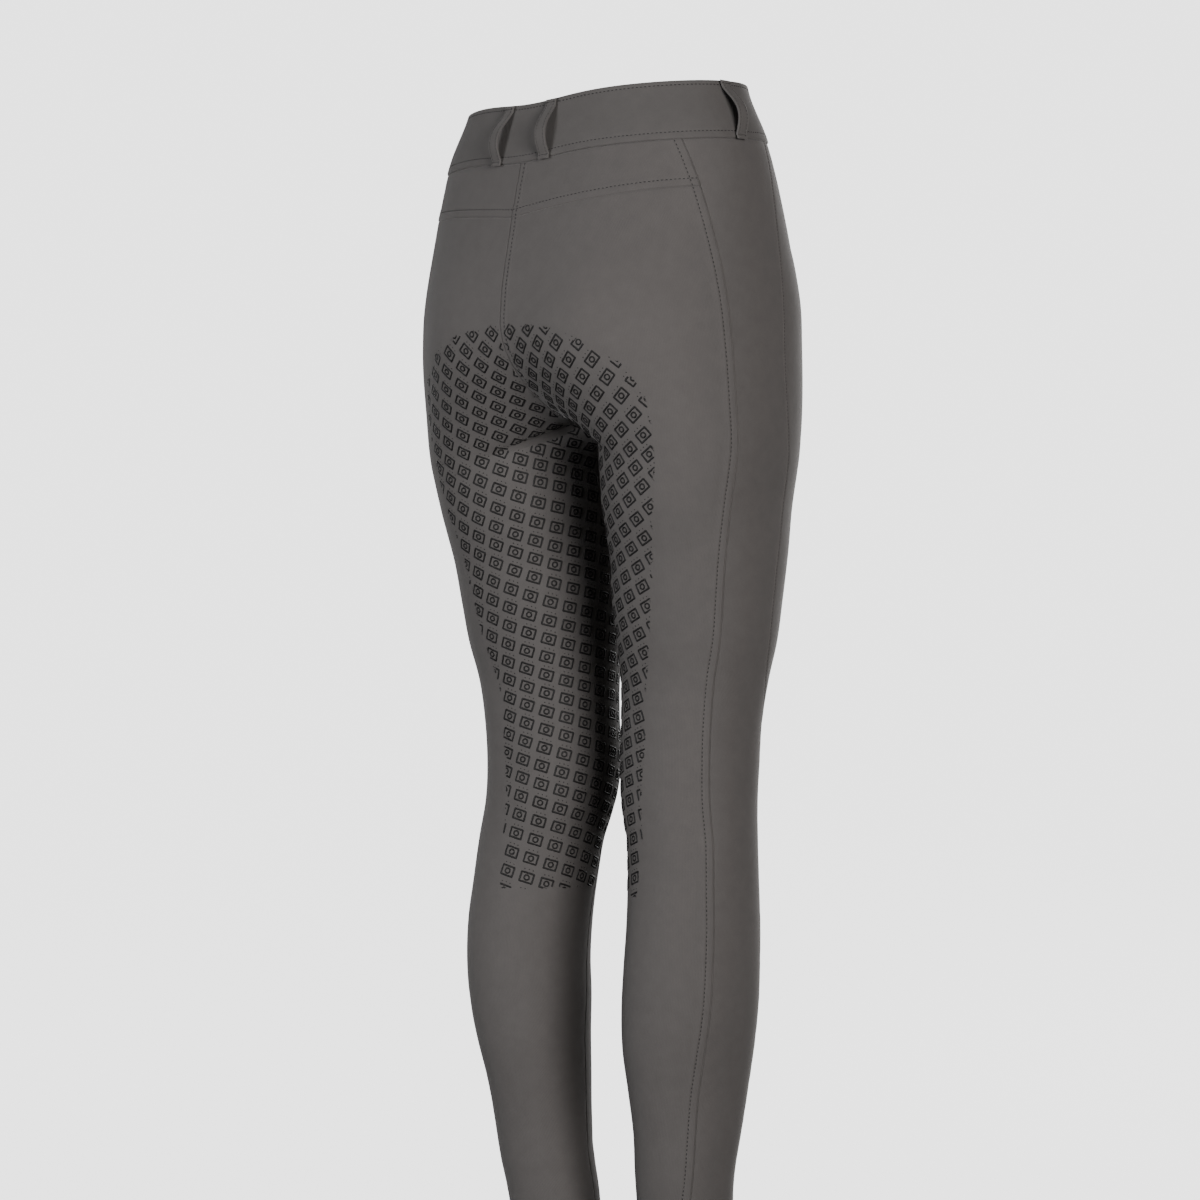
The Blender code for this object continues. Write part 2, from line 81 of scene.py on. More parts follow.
# Leg sections from hip to hem: the centre of the leg, its half sizes, and its turn outwards.
LEG = (  # z, centre_x, centre_y, half_width, half_depth, turn_deg
    (-150, 84, 0, 74, 108, -3),
    (-200, 87, -5, 74, 104, 2),
    (-240, 88, -6, 72.5, 95, 2),
    (-284, 90, -8, 69, 84, -4),
    (-320, 86.5, -10, 66, 79, -4),
    (-359, 84.5, -14, 63, 71.5, -2),
    (-391, 82, -15, 61, 67.5, 0),
    (-422, 80.6, -16, 58, 62.5, 0),
    (-453, 77.4, -17, 54, 56.3, 0),
    (-484, 74.4, -17, 51.5, 54, 0),
    (-516, 72.3, -17, 51, 53.5, 0),
    (-547, 73.7, -15, 49.5, 52.5, 0),
    (-578, 80, -11, 47.5, 50.3, 0),
    (-609, 83.7, -8, 46, 51.5, 2),
    (-641, 86.5, -5, 45, 53.5, 5),
    (-672, 86.5, -3, 44.5, 54.5, 9),
    (-703, 84.6, -3, 44, 54.5, 11),
    (-734, 82, -4, 41, 52.5, 13),
    (-766, 79, -7, 38, 47.5, 13),
    (-797, 76.7, -9, 36, 42.5, 12),
    (-828, 73.2, -10, 34.5, 39, 10),
    (-859, 69.5, -14, 34, 36.5, 6),
    (-950, 67, -16, 33, 36, 6),
)
LEG_POWER = 2.1
FORK_TOP, FORK_END = -179.0, -289.0  # where the body section becomes the two legs
FORK_ROUNDING = 6.0
FIELD_SCALE = 110.0
REACH = 260.0  # longer than any line from inside the garment out to its cloth
LOBE_RISE, LOBE_X, LOBE_Z, LOBE_WIDTH, LOBE_HEIGHT = 5.0, 66.0, -195.0, 40.0, 55.0
FOLD_DEPTH, FOLD_WIDTH = 5.0, 9.0  # the crease under the seat
FOLD_INNER_Z, FOLD_FALL, FOLD_REACH = -254.0, 0.42, 62.0

# How far back each outer seam lies at each level.
SIDE_BACK_SEAM = (  # z, y
    (0, 54), (-43, 51), (-115, 40), (-208, 28), (-344, 21), (-531, 11), (-664, 19),
    (-720, 19), (-859, 11), (-950, 8),
)
FRONT_SIDE_SEAM = (  # z, y
    (0, -31), (-43, -30), (-208, -26), (-312, -36), (-376, -34), (-440, -37), (-480, -50),
    (-547, -57), (-660, -46), (-760, -45), (-859, -42), (-950, -41),
)
INSEAM_SETTLE = 40.0  # how soon the inner leg seam leaves the direction of the crotch
# How far the inner leg seam lies in front of the leg's inner side.
INSEAM = (  # z, forward_deg
    (-250, 0), (-330, 12), (-420, 30), (-520, 38), (-620, 36), (-760, 25), (-950, 15),
)

# Seams and stitches
EDGE_ROLL, EDGE_ROLL_WIDTH = 0.55, 0.9  # how far a panel's edge turns in at a seam
RIDGE, RIDGE_WIDTH = 0.42, 7.4  # the folded allowance under a topstitched seam
STITCH_SETBACK = 6.2  # from the seam to its row of stitches
CHANNEL, CHANNEL_WIDTH = 0.42, 0.8  # the hollow that a row of stitches pulls in
FINE_SETBACK = 1.6  # of the front side seam's row
FINE_CHANNEL, FINE_CHANNEL_WIDTH = 0.252, 0.6
ROW_CHANNEL_WIDTH = 0.7  # of the rows on the hems and the waistband
ALLOWANCE, ALLOWANCE_WIDTH, ALLOWANCE_EDGE = 0.7, 7.0, 1.2  # inside every seam
PUCKER, PUCKER_SETBACK, PUCKER_WIDTH = 0.045, 4.0, 4.5
SEAM_STITCH = (3.2, 1.8, 0.37)  # pitch, length, radius
FINE_STITCH, HEM_STITCH = (2.7, 1.7, 0.20), (2.9, 2.1, 0.24)
LOOP_STITCH, TACK_STITCH = (2.6, 1.7, 0.16), (0.7, 0.66, 0.20)
BUTTON_STITCH, BUTTONHOLE_STITCH = (3.5, 3.3, 0.20), (0.62, 0.9, 0.34)
STITCH_RINGS = ((-0.5, 0.35, 0.30), (-0.3, 1.0, 0.0), (0.3, 1.0, 0.0), (0.5, 0.35, 0.30))
MIDDLE_SETBACK, CROTCH_STITCH_END = 4.4, -232.0  # of the centre back seam's row, and where it ends
FLY_WIDTH, FLY_TURN_Z, FLY_END_Z = 32.0, -148.0, -181.0  # its row of stitches
HEM_TURN, HEM_ROWS = 20.0, (16.4, 19.2)  # height of the turned hem and of its rows of stitches
TUCKED_IN = 4.0  # height of the cloth that stands up inside the waistband

# Grid points at set distances from an edge of a panel, so that its seam has a clear shape
NEAR_SEAM = (0, 0.2, 0.5, 0.9, 1.6, 2.6, 4.0, 5.2, 5.8, 6.2, 6.6, 7.2, 8.0, 9.2)
NEAR_FINE_SEAM = (0, 0.2, 0.5, 0.9, 1.3, 1.6, 1.9, 2.4, 3.4, 5.0)
NEAR_BAND_EDGE = (0, 0.15, 0.4, 0.8, 1.3, 2.2, 3.2, 3.7, 4.0, 4.3, 4.8, 5.2, 5.5, 5.8, 6.4, 7.6)
NEAR_HEM = (
    0, 0.3, 0.8, 1.6, 6.0, 11.0, 15.2, 16.0, 16.4, 16.8, 17.4, 18.2, 18.8, 19.2, 19.6, 20.4, 22.0,
)
YOKE_RUN, SEAT_RUN, LEG_RUN = 45.0, 215.0, 645.0  # lengths that the rows are shared out over
ROW_STEP = 3.1
CROTCH_EASE, CROTCH_EASE_REACH = 0.03, 0.05  # rows lie closer on the inner leg seam's start
SEAM_BEND = 60.0  # run over which the rows bend onto the waist seam

# Creases, by distance from the outer seam and level. run is half the length, and lean is the
# turn of the crease in degrees.
BACK_CREASES = (  # from_seam, z, run, lean_deg, depth, width
    (62, -556, 26, 9, 0.55, 5.5),
    (72, -571, 34, -4, 0.45, 6.5),
    (58, -592, 22, -12, 0.35, 5.0),
    (96, -318, 30, -20, 0.45, 7.0),
    (120, -335, 24, -28, 0.40, 6.0),
    (128, -372, 26, -33, 0.35, 7.5),
    (44, -700, 30, 14, 0.25, 8.0),
)
FRONT_CREASES = (  # from_seam, z, run, lean_deg, depth, width
    (112, -243, 34, 24, 1.70, 5.0),
    (104, -262, 42, 12, 1.45, 6.0),
    (118, -284, 28, -3, 1.05, 5.5),
    (92, -226, 26, 33, 0.95, 6.5),
    (60, -118, 30, 6, 0.30, 7.0),
    (70, -552, 30, -6, 0.35, 8.0),
    (50, -585, 24, 8, 0.30, 7.0),
    (62, -822, 22, -8, 0.30, 6.0),
)
# The sharp fold under the seat: its depth, its half width, and how far it runs from the middle
SEAT_FOLD_DEPTH, SEAT_FOLD_WIDTH, SEAT_FOLD_REACH = 5.0, 2.7, 50.0
SEAT_LIP, SEAT_LIP_ABOVE, SEAT_LIP_WIDTH = 1.6, 6.5, 5.0  # the soft swelling over it

# The grip print: how far from the side seam it starts at each level
PRINT_EDGE = (  # z, from_side_seam
    (-184, 188), (-188, 150), (-197, 125), (-209, 101), (-220, 86), (-236, 74), (-251, 68),
    (-276, 65), (-320, 60), (-366, 55), (-420, 55), (-500, 51), (-565, 56), (-617, 64),
)
# One column of motifs, from which each row is laid both ways
PRINT_COLUMN = (  # z, from_side_seam
    (-176, 196), (-216, 163), (-240, 143), (-262, 127), (-284, 115), (-312, 102), (-340, 85),
    (-369, 69), (-400, 58), (-448, 36), (-500, 24), (-560, 20.5), (-720, 20),
)
# How steeply the rows fall on their way inwards
PRINT_ROWS = (  # z, from_side_seam, fall_deg there, ease_deg for each 10 mm inwards
    (-176, 130, 50, 0.5), (-213, 130, 50, 1.0), (-226, 130, 47, 2.0), (-250, 130, 36, 2.3),
    (-265, 130, 28, 2.6), (-285, 120, 24, 3.0), (-315, 100, 28, 3.0), (-345, 90, 25, 2.2),
    (-400, 90, 21, 1.8), (-460, 80, 19, 1.2), (-520, 78, 18, 0.4), (-720, 76, 20, 0.4),
)
MOTIF_PITCH_ACROSS, MOTIF_PITCH_DOWN = 16.3, 14.9
MOTIF_WIDTH, MOTIF_HEIGHT, MOTIF_STROKE = 11.5, 9.0, 1.5
MOTIF_CORNER, SHARPEST_CORNER, RING_RADIUS, RING_STROKE = 0.9, 0.15, 2.65, 1.35
MOTIF_TURN = 0.94  # share of its row's slope that a motif takes
MOTIF_ROW_Z = -297.7  # a level where the column has a motif
PRINT_HEIGHT, PRINT_BEVEL = 0.32, 0.22  # the bevel is a share of the stroke
PRINT_OFF_CLOTH = 2.2  # how far off the cloth a part of a motif may fall and still be printed
DOT_RADIUS, DOT_SPREAD, DOT_ABOVE, DOT_ARCH = 0.5, 3.4, 1.9, 0.25  # three dots over each motif

BACKDROP_GLOW, STUDIO_HAZE = 3.55, 0.045
STUDIO_LIGHTS = (  # name, turn, height, distance, size, power, colour; in metres and watts
    ("left_box", 174, -0.1, 2.8, 1.2, 39, (0.95, 0.975, 1.0)),
    ("right_box", 246, -0.1, 2.8, 1.2, 56, (1.0, 0.985, 0.97)),
    ("front_box", 15, 0.3, 3.2, 1.8, 62, (1.0, 1.0, 1.0)),
    ("side_box", 76, -0.1, 3.2, 1.8, 24, (1.0, 1.0, 1.0)),
)
LIGHTS_AIM = (0.0, 0.0, -0.45)
CAMERA_PLACE, CAMERA_AIM = (-1.6232, 1.7406, -0.457), (0.0034, 0.0032, -0.3906)
CAMERA_LENS, CAMERA_SENSOR = 91.4, 36.0


def smooth_step(t):
    t = np.clip(t, 0.0, 1.0)
    return t * t * (3.0 - 2.0 * t)


def bell(off, width):
    """1 where off is 0, falling away evenly on both sides."""
    return np.exp(-(off / width) ** 2)


def unit(vectors):
    return vectors / np.linalg.norm(vectors, axis=-1, keepdims=True)


def circle(count):
    """Points of a flat circle of radius 1."""
    turn = np.linspace(0, 2 * math.pi, count + 1)[:-1]
    return np.stack([np.cos(turn), np.sin(turn)], -1)


def mirrored(*arrays):
    """Points or directions of the left half as the right half has them."""
    return [array * np.array([-1.0, 1.0, 1.0]) for array in arrays]


def run_along(grid):
    """Distance along each row of a grid from its first column."""
    step = np.linalg.norm(np.diff(grid, axis=1), axis=-1)
    return np.concatenate([np.zeros((len(grid), 1)), np.cumsum(step, axis=1)], axis=1)


def run_down(grid):
    return run_along(grid.swapaxes(0, 1)).swapaxes(0, 1)


def run_of(line):
    return run_along(line[None])[0]


def read_line(where, run, line):
    """Points of a line at distances along it, where run holds the distances of its own points."""
    return np.stack([np.interp(where, run, line[:, k]) for k in range(3)], -1)


def read_table(table, z):
    """The table's other columns at level z, on smooth curves through its rows."""
    rows = np.array(table, float)[::-1]
    level, value = rows[:, 0], rows[:, 1:]
    step = np.diff(level)
    slope = np.diff(value, axis=0) / step[:, None]
    tangent = np.zeros_like(value)
    blend = slope[:-1] * step[1:, None] + slope[1:] * step[:-1, None]
    tangent[1:-1] = blend / (step[1:] + step[:-1])[:, None]
    tangent[0], tangent[-1] = slope[0], slope[-1]
    z = np.clip(z, level[0], level[-1])
    i = np.clip(np.searchsorted(level, z) - 1, 0, len(step) - 1)
    t = ((z - level[i]) / step[i])[..., None]
    run = step[i][..., None]
    start = value[i] * (1 + 2 * t) * (1 - t) ** 2 + tangent[i] * run * t * (1 - t) ** 2
    end = value[i + 1] * t * t * (3 - 2 * t) + tangent[i + 1] * run * t * t * (t - 1)
    return np.moveaxis(start + end, -1, 0)


def body_section(x, y, z):
    half_width, widest_y, front, back, power = read_table(TORSO, z)
    depth = np.where(y > widest_y, back, front)
    ratio = (np.abs(x) / half_width) ** power + (np.abs(y - widest_y) / depth) ** power
    return (ratio ** (1 / power) - 1) * FIELD_SCALE


def leg_section(x, y, z):
    centre_x, centre_y, half_width, half_depth, turn = read_table(LEG, z)
    cos, sin = np.cos(np.radians(turn)), np.sin(np.radians(turn))
    dx, dy = x - centre_x, y - centre_y
    across, along = dx * cos + dy * sin, dy * cos - dx * sin
    ratio = (np.abs(across) / half_width) ** LEG_POWER + (np.abs(along) / half_depth) ** LEG_POWER
    return (ratio ** (1 / LEG_POWER) - 1) * half_width


def above_fold(x, z):
    """Height above the line of the fold under the seat."""
    return z - (FOLD_INNER_Z - FOLD_FALL * np.abs(x))


def seat_relief(x, y, z):
    """The two rounds of the seat, less the crease under each."""
    behind = smooth_step(y / 40)
    across = (np.abs(x) - LOBE_X) / LOBE_WIDTH
    lobes = np.exp(-across ** 2 - ((z - LOBE_Z) / LOBE_HEIGHT) ** 2)
    crease = np.exp(-(x / FOLD_REACH) ** 4) * bell(above_fold(x, z), FOLD_WIDTH)
    return behind * (LOBE_RISE * lobes - FOLD_DEPTH * crease)


def field(points):
    """Negative inside the garment, zero on the middle of its cloth, positive outside."""
    x, y, z = np.moveaxis(points, -1, 0)
    left, right = leg_section(x, y, z), leg_section(-x, y, z)
    spread = np.abs(left - right) / FORK_ROUNDING
    legs = np.minimum(left, right) - FORK_ROUNDING * np.log1p(np.exp(-spread))
    share = smooth_step((FORK_TOP - z) / (FORK_TOP - FORK_END))
    return (1 - share) * body_section(x, y, z) + share * legs - seat_relief(x, y, z)


def field_normal(points):
    """Unit vectors out of the cloth at an array of points."""
    steps = 0.4 * np.eye(3)
    return unit(np.stack([field(points + step) - field(points - step) for step in steps], -1))


def cross_out(start, direction, far):
    """Where rays from inside the garment pass out through its surface."""
    near = np.zeros(start.shape[:-1])
    far = np.broadcast_to(far, near.shape).astype(float)
    for _ in range(40):
        middle = (near + far) / 2
        inside = field(start + direction * middle[..., None]) < 0
        near, far = np.where(inside, middle, near), np.where(inside, far, middle)
    return start + direction * ((near + far) / 2)[..., None]


def leg_axis(z):
    """The line inside each half that its sections are drawn around."""
    centre_x, centre_y = read_table(LEG, z)[:2]
    rise = smooth_step((z + 150) / 150)
    return centre_x * (1 - rise) + 62 * rise, centre_y * (1 - rise)


def level_direction(angle):
    return np.stack([np.cos(angle), np.sin(angle), 0 * angle], -1)


def surface(angle, z):
    """Points at level z, in directions from outwards (0) through the back (90 degrees)."""
    x, y = leg_axis(z)
    direction = level_direction(angle)
    inward = -direction[..., 0]
    to_middle = np.where(inward > 1e-6, x / np.maximum(inward, 1e-6), REACH)
    return cross_out(np.stack([x, y, z], -1), direction, np.minimum(to_middle, REACH))


def angle_of(point):
    x, y = leg_axis(point[..., 2])
    return np.arctan2(point[..., 1] - y, point[..., 0] - x)


def side_point(table, z):
    """The point of an outer seam at level z."""
    start = np.stack([leg_axis(z)[0], read_table(table, z)[0], z], -1)
    return cross_out(start, np.array([1.0, 0.0, 0.0]), REACH)


def top_edge(x, y):
    dip = WAIST_BACK_DIP * np.exp(-(x / WAIST_DIP_WIDTH) ** 2) * smooth_step(y / 40)
    return -WAIST_FRONT_RISE * y - dip


def waist_seam(x, y):
    return top_edge(x, y) - BAND_HEIGHT


def yoke_seam(x, y):
    return YOKE_CENTRE_Z + YOKE_RISE * np.abs(x) / YOKE_HALF_WIDTH


def on_edge(edge, find, z):
    """The level where a curve on the surface meets an edge whose height depends on the point."""
    for _ in range(12):
        point = find(z)
        z = edge(point[..., 0], point[..., 1])
    return z


def inner_angle_of(point, back):
    """The direction of a point on the inner side, counted through the back or the front."""
    turn = np.mod(angle_of(point), 2 * math.pi)
    return turn if back else turn - 2 * math.pi


def round_waist(angle, level):
    """Points of the waist at a turn around its middle: 0 is the wearer's left, 90 the back."""
    middle = np.stack([0 * level, 0 * level, level], -1)
    return cross_out(middle, level_direction(angle), REACH)


def waist_column(angle, share):
    """Points of the waistband at one turn, from its seam up to its top edge."""
    low, high = (
        on_edge(edge, lambda z: round_waist(angle, z), 0 * angle) for edge in (waist_seam, top_edge)
    )
    share = np.asarray(share, float)[:, None]
    z = low[None] * (1 - share) + high[None] * share
    return round_waist(np.broadcast_to(angle, z.shape), z)


def front_angle(x):
    """The turn around the waist at which its front lies this far to the left of the middle."""
    return -math.pi / 2 + math.asin(x / TORSO[1][3])


def run_shares(run, near_start, near_end, step=ROW_STEP):
    """Shares of a run with points at set distances from both ends and even steps between."""
    first, last = np.array(near_start, float), run - np.array(near_end, float)[::-1]
    count = max(int(round((last[0] - first[-1]) / step)), 1)
    middle = np.linspace(first[-1], last[0], count + 1)[1:-1]
    return np.concatenate([first, middle, last]) / run


YOKE_SHARES = run_shares(YOKE_RUN, NEAR_SEAM, NEAR_SEAM)
TOP_SHARES = run_shares(YOKE_RUN, NEAR_FINE_SEAM, (0,))
SEAT_SHARES = run_shares(SEAT_RUN, NEAR_FINE_SEAM, (0,))
PLAIN_SEAT_SHARES = run_shares(SEAT_RUN, (0,), (0,))
LEG_SHARES = run_shares(LEG_RUN, (0,), NEAR_HEM)


def middle_curve(back, edge, shares):
    """Points of the middle seam, at shares of its length from an edge down to the crotch."""
    side = 1.0 if back else -1.0
    turn = np.linspace(math.radians(70), -math.pi / 2, 1500)
    direction = np.stack([0 * turn, side * np.cos(turn), np.sin(turn)], -1)
    inside = np.broadcast_to([0.0, 0.0, -150.0], direction.shape)
    curve = cross_out(inside, direction, REACH)
    curve = curve[: np.argmin(curve[:, 2]) + 1]
    curve = curve[curve[:, 2] <= edge(curve[:, 0], curve[:, 1])]
    run = run_of(curve)
    return read_line(shares * run[-1], run, curve)


def outer_seam(table, upper, seat):
    """Points of an outer seam on all rows of a panel, from its top down to the hem."""
    top = on_edge(waist_seam, lambda z: side_point(table, z), -45.0)
    if table is SIDE_BACK_SEAM:
        yoke = on_edge(yoke_seam, lambda z: side_point(table, z), -87.0)
    else:
        yoke = FRONT_YOKE_LEVEL
    levels = [(yoke + (CROTCH_ROW_Z - yoke) * seat)[:-1]]
    levels.append(CROTCH_ROW_Z + (HEM_Z - CROTCH_ROW_Z) * LEG_SHARES)
    if upper is not None:
        levels.insert(0, (top + (yoke - top) * upper)[:-1])
    return side_point(table, np.concatenate(levels))


def inner_edge(back, edge, shares):
    """The middle seam down to the crotch and then the inner leg seam, as (points, angles)."""
    middle = middle_curve(back, edge, shares)
    middle[-1] = crotch = middle_curve(True, yoke_seam, np.array([0.0, 1.0]))[-1]
    share = LEG_SHARES[1:]
    share = share - CROTCH_EASE * (1 - np.exp(-share / CROTCH_EASE_REACH)) * (1 - share)
    z = crotch[2] + (HEM_Z - crotch[2]) * share
    straight_in = math.pi if back else -math.pi
    settle = np.exp(-(crotch[2] - z) / INSEAM_SETTLE)
    off_crotch = inner_angle_of(crotch, back) - straight_in
    angle = straight_in + np.radians(read_table(INSEAM, z)[0]) + off_crotch * settle
    return (
        np.concatenate([middle, surface(angle, z)]),
        np.concatenate([inner_angle_of(middle, back), angle]),
    )


def edge_bend(edge, angle, z):
    """How far each point of a row moves up or down to lie on a seam that crosses the panel."""
    return on_edge(edge, lambda level: surface(angle, level), z) - z


def panel_between(outer, inner, inner_angle, near_outer, near_inner, edges, step=4.0):
    """A grid of surface points, a row from each outer point to its inner point.

    edges holds (seam, row, reach): the rows bend onto that seam, over reach rows' run.
    """
    outer_angle = angle_of(outer)

    def laid(share):
        z = outer[:, None, 2] * (1 - share) + inner[:, None, 2] * share
        angle = outer_angle[:, None] * (1 - share) + inner_angle[:, None] * share
        for seam, row, reach in edges:
            bend = edge_bend(seam, angle[row], z[row])
            fall = smooth_step(1 - np.abs(outer[:, 2] - outer[row, 2]) / reach)[:, None]
            over = np.stack([np.interp(one, share[row], bend) for one in share])
            z = z + over * fall
        return surface(angle, z)

    even = np.linspace(0, 1, 61)
    coarse = run_along(laid(np.broadcast_to(even, (len(outer), 61))))
    count = max(int(round((coarse[:, -1].mean() - near_outer[-1] - near_inner[-1]) / step)), 2)
    first, last = np.array(near_outer, float), np.array(near_inner, float)[::-1]
    shares = []
    for run in coarse:
        start, end = first, run[-1] - last
        middle = np.linspace(start[-1], end[0], count + 1)[1:-1]
        shares.append(np.interp(np.concatenate([start, middle, end]), run, even))
    grid = laid(np.array(shares))
    grid[:, 0], grid[:, -1] = outer, inner
    grid[..., 0] = np.maximum(grid[..., 0], 0.0)
    return grid


def back_grid():
    outer = outer_seam(SIDE_BACK_SEAM, None, SEAT_SHARES)
    inner = inner_edge(True, yoke_seam, SEAT_SHARES)
    return panel_between(outer, *inner, NEAR_SEAM, NEAR_SEAM, [(yoke_seam, 0, 90.0)])


def yoke_grid():
    outer = outer_seam(SIDE_BACK_SEAM, YOKE_SHARES, PLAIN_SEAT_SHARES)[: len(YOKE_SHARES)]
    middle = middle_curve(True, waist_seam, np.linspace(0, 1, 600))
    bottom = middle_curve(True, yoke_seam, np.array([0.0, 1.0]))[0]
    z = middle[0, 2] + (bottom[2] - middle[0, 2]) * YOKE_SHARES
    inner = np.stack([0 * z, np.interp(-z, -middle[:, 2], middle[:, 1]), z], -1)
    run = abs(outer[-1, 2] - outer[0, 2])
    edges = [(waist_seam, 0, run), (yoke_seam, -1, run)]
    return panel_between(outer, inner, angle_of(inner), NEAR_SEAM, NEAR_SEAM, edges)


def side_grid():
    front = outer_seam(FRONT_SIDE_SEAM, TOP_SHARES, PLAIN_SEAT_SHARES)
    back = outer_seam(SIDE_BACK_SEAM, TOP_SHARES, PLAIN_SEAT_SHARES)
    edges = [(waist_seam, 0, SEAM_BEND)]
    return panel_between(front, back, angle_of(back), NEAR_FINE_SEAM, NEAR_FINE_SEAM, edges)


def front_grid():
    outer = outer_seam(FRONT_SIDE_SEAM, TOP_SHARES, PLAIN_SEAT_SHARES)
    join = YOKE_RUN / (YOKE_RUN + SEAT_RUN)
    shares = np.concatenate([(TOP_SHARES * join)[:-1], join + PLAIN_SEAT_SHARES * (1 - join)])
    inner = inner_edge(False, waist_seam, shares)
    return panel_between(outer, *inner, NEAR_FINE_SEAM, NEAR_SEAM, [(waist_seam, 0, SEAM_BEND)])


def plain_edge(distance):
    """An edge that turns in at its seam."""
    return -EDGE_ROLL * (1 - smooth_step(distance / EDGE_ROLL_WIDTH))


def fine_edge(distance):
    """An edge that turns in, with a fine row of stitches close beside it."""
    return plain_edge(distance) - FINE_CHANNEL * bell(distance - FINE_SETBACK, FINE_CHANNEL_WIDTH)


def topstitched_edge(distance, setback=STITCH_SETBACK, ridge=RIDGE, width=RIDGE_WIDTH):
    """An edge with its allowance folded under and sewn down through all layers."""
    rise = smooth_step(distance / EDGE_ROLL_WIDTH)
    strip = ridge * rise * (1 - smooth_step((distance - width) / 1.5))
    channel = CHANNEL * bell(distance - setback, CHANNEL_WIDTH)
    return strip - channel - EDGE_ROLL * (1 - rise)


def turned_hem(distance):
    """A hem turned up inside and held by rows of stitches."""
    rows = sum(bell(distance - setback, ROW_CHANNEL_WIDTH) for setback in HEM_ROWS)
    fold = 0.3 * (1 - smooth_step((distance - HEM_TURN) / 1.6))
    return fold + plain_edge(distance) - 0.22 * rows


def pucker(along, distance, phase):
    """The slight unevenness that a sewn seam gives the cloth beside it."""
    wave = np.sin(along / 1.9 + phase) + 0.8 * np.sin(along / 3.1 + 2.3 * phase)
    wave = wave + 0.6 * np.sin(along / 6.7 + 4.1 * phase)
    return PUCKER * wave * bell(distance - PUCKER_SETBACK, PUCKER_WIDTH)


def allowance(distance):
    """The seam allowance that lies inside a seam."""
    return ALLOWANCE * (1 - smooth_step((distance - ALLOWANCE_WIDTH) / ALLOWANCE_EDGE))


def creases(table, from_seam, z):
    """Soft troughs, each with a low ridge below it."""
    total = np.zeros_like(z)
    for at, level, run, lean, depth, width in table:
        cos, sin = math.cos(math.radians(lean)), math.sin(math.radians(lean))
        along = (from_seam - at) * cos + (z - level) * sin
        off = (z - level) * cos - (from_seam - at) * sin + 0.004 * along ** 2
        fade = np.exp(-(np.abs(along) / run) ** 3)
        ridge = bell(off + 1.8 * width, 1.2 * width)
        total -= depth * fade * (bell(off, width) - 0.45 * ridge)
    return total


def seat_fold(x, y, z):
    """The sharp line at the bottom of the crease under the seat, deepest next to the middle."""
    off = above_fold(x, z)
    fade = np.exp(-(np.abs(x) / SEAT_FOLD_REACH) ** 3) * smooth_step((y - 10) / 40)
    lip = SEAT_LIP * bell(off - SEAT_LIP_ABOVE, SEAT_LIP_WIDTH)
    return fade * (lip - SEAT_FOLD_DEPTH * bell(off, SEAT_FOLD_WIDTH))


def slack(points):
    """Broad, very shallow unevenness of stretched cloth."""
    x, y, z = points[..., 0], points[..., 1], points[..., 2]
    wave = np.sin(x / 31 + z / 47 + 0.6) * np.sin(y / 37 - z / 59 + 1.9)
    return 0.22 * wave + 0.12 * np.sin(x / 17 - z / 23) * np.sin(y / 19 + z / 29)


def shell_faces(rows, columns):
    """Faces of a closed thin shell: its outer grid, its inner grid and the rim between."""
    index = np.arange(rows * columns).reshape(rows, columns)
    quads = np.stack([index[:-1, :-1], index[:-1, 1:], index[1:, 1:], index[1:, :-1]], -1)
    quads = quads.reshape(-1, 4)
    ring = np.concatenate([index[0], index[1:, -1], index[-1, -2::-1], index[-2:0:-1, 0]])
    after, under = np.roll(ring, -1), rows * columns
    rim = np.stack([after, ring, ring + under, after + under], -1)
    return quads, np.concatenate([quads, quads[:, ::-1] + under, rim])


def placed(name, data, place=(0.0, 0.0, 0.0), aim=None):
    """A new object in the scene, turned to face aim."""
    made = bpy.data.objects.new(name, data)
    made.location = place
    if aim is not None:
        made.rotation_euler = (Vector(aim) - Vector(place)).to_track_quat("-Z", "Y").to_euler()
    bpy.context.collection.objects.link(made)
    return made


def add_piece(name, points, faces, finish, slot, pattern=None, sharp=50):
    """A mesh piece from points in millimetres. pattern is the place of each point in the weave."""
    mesh = bpy.data.meshes.new(name)
    mesh.from_pydata((np.asarray(points) * MM).tolist(), [], np.asarray(faces).tolist())
    if pattern is not None:
        corner = np.empty(len(mesh.loops), np.int32)
        mesh.loops.foreach_get("vertex_index", corner)
        layer = mesh.uv_layers.new(name="Weave")
        layer.uv.foreach_set("vector", (pattern[corner] * MM).astype(np.float32).ravel())
    mesh.shade_smooth()
    mesh.set_sharp_from_angle(angle=math.radians(sharp))
    mesh.materials.append(finish)
    made = placed(name, mesh)
    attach(made, "root")
    return made


def add_shell(name, node, outer, inner, pattern, finish, slot):
    """A closed shell that stands for a CAD node."""
    quads, faces = shell_faces(*outer.shape[:2])
    flat_outer, flat_inner = outer.reshape(-1, 3), inner.reshape(-1, 3)
    corner = flat_outer[quads]
    facing = np.cross(corner[:, 1] - corner[:, 0], corner[:, 3] - corner[:, 0])
    outward = (flat_outer - flat_inner)[quads[:, 0]]
    if (facing * outward).sum() < 0:
        faces = faces[:, ::-1]
    points = np.concatenate([flat_outer, flat_inner])
    pattern = np.concatenate([pattern.reshape(-1, 2)] * 2)
    made = add_piece(name, points, faces, finish, slot, pattern)
    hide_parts(node)
    return made


def middle_topstitch(distance, z):
    """The centre back seam's allowance, sewn down on the right half as far as the crotch."""
    above = smooth_step((z - CROTCH_STITCH_END) / 25)
    pressed = topstitched_edge(distance, MIDDLE_SETBACK, 0.7 * RIDGE, MIDDLE_SETBACK + 1.6)
    return plain_edge(distance) * (1 - above) + pressed * above


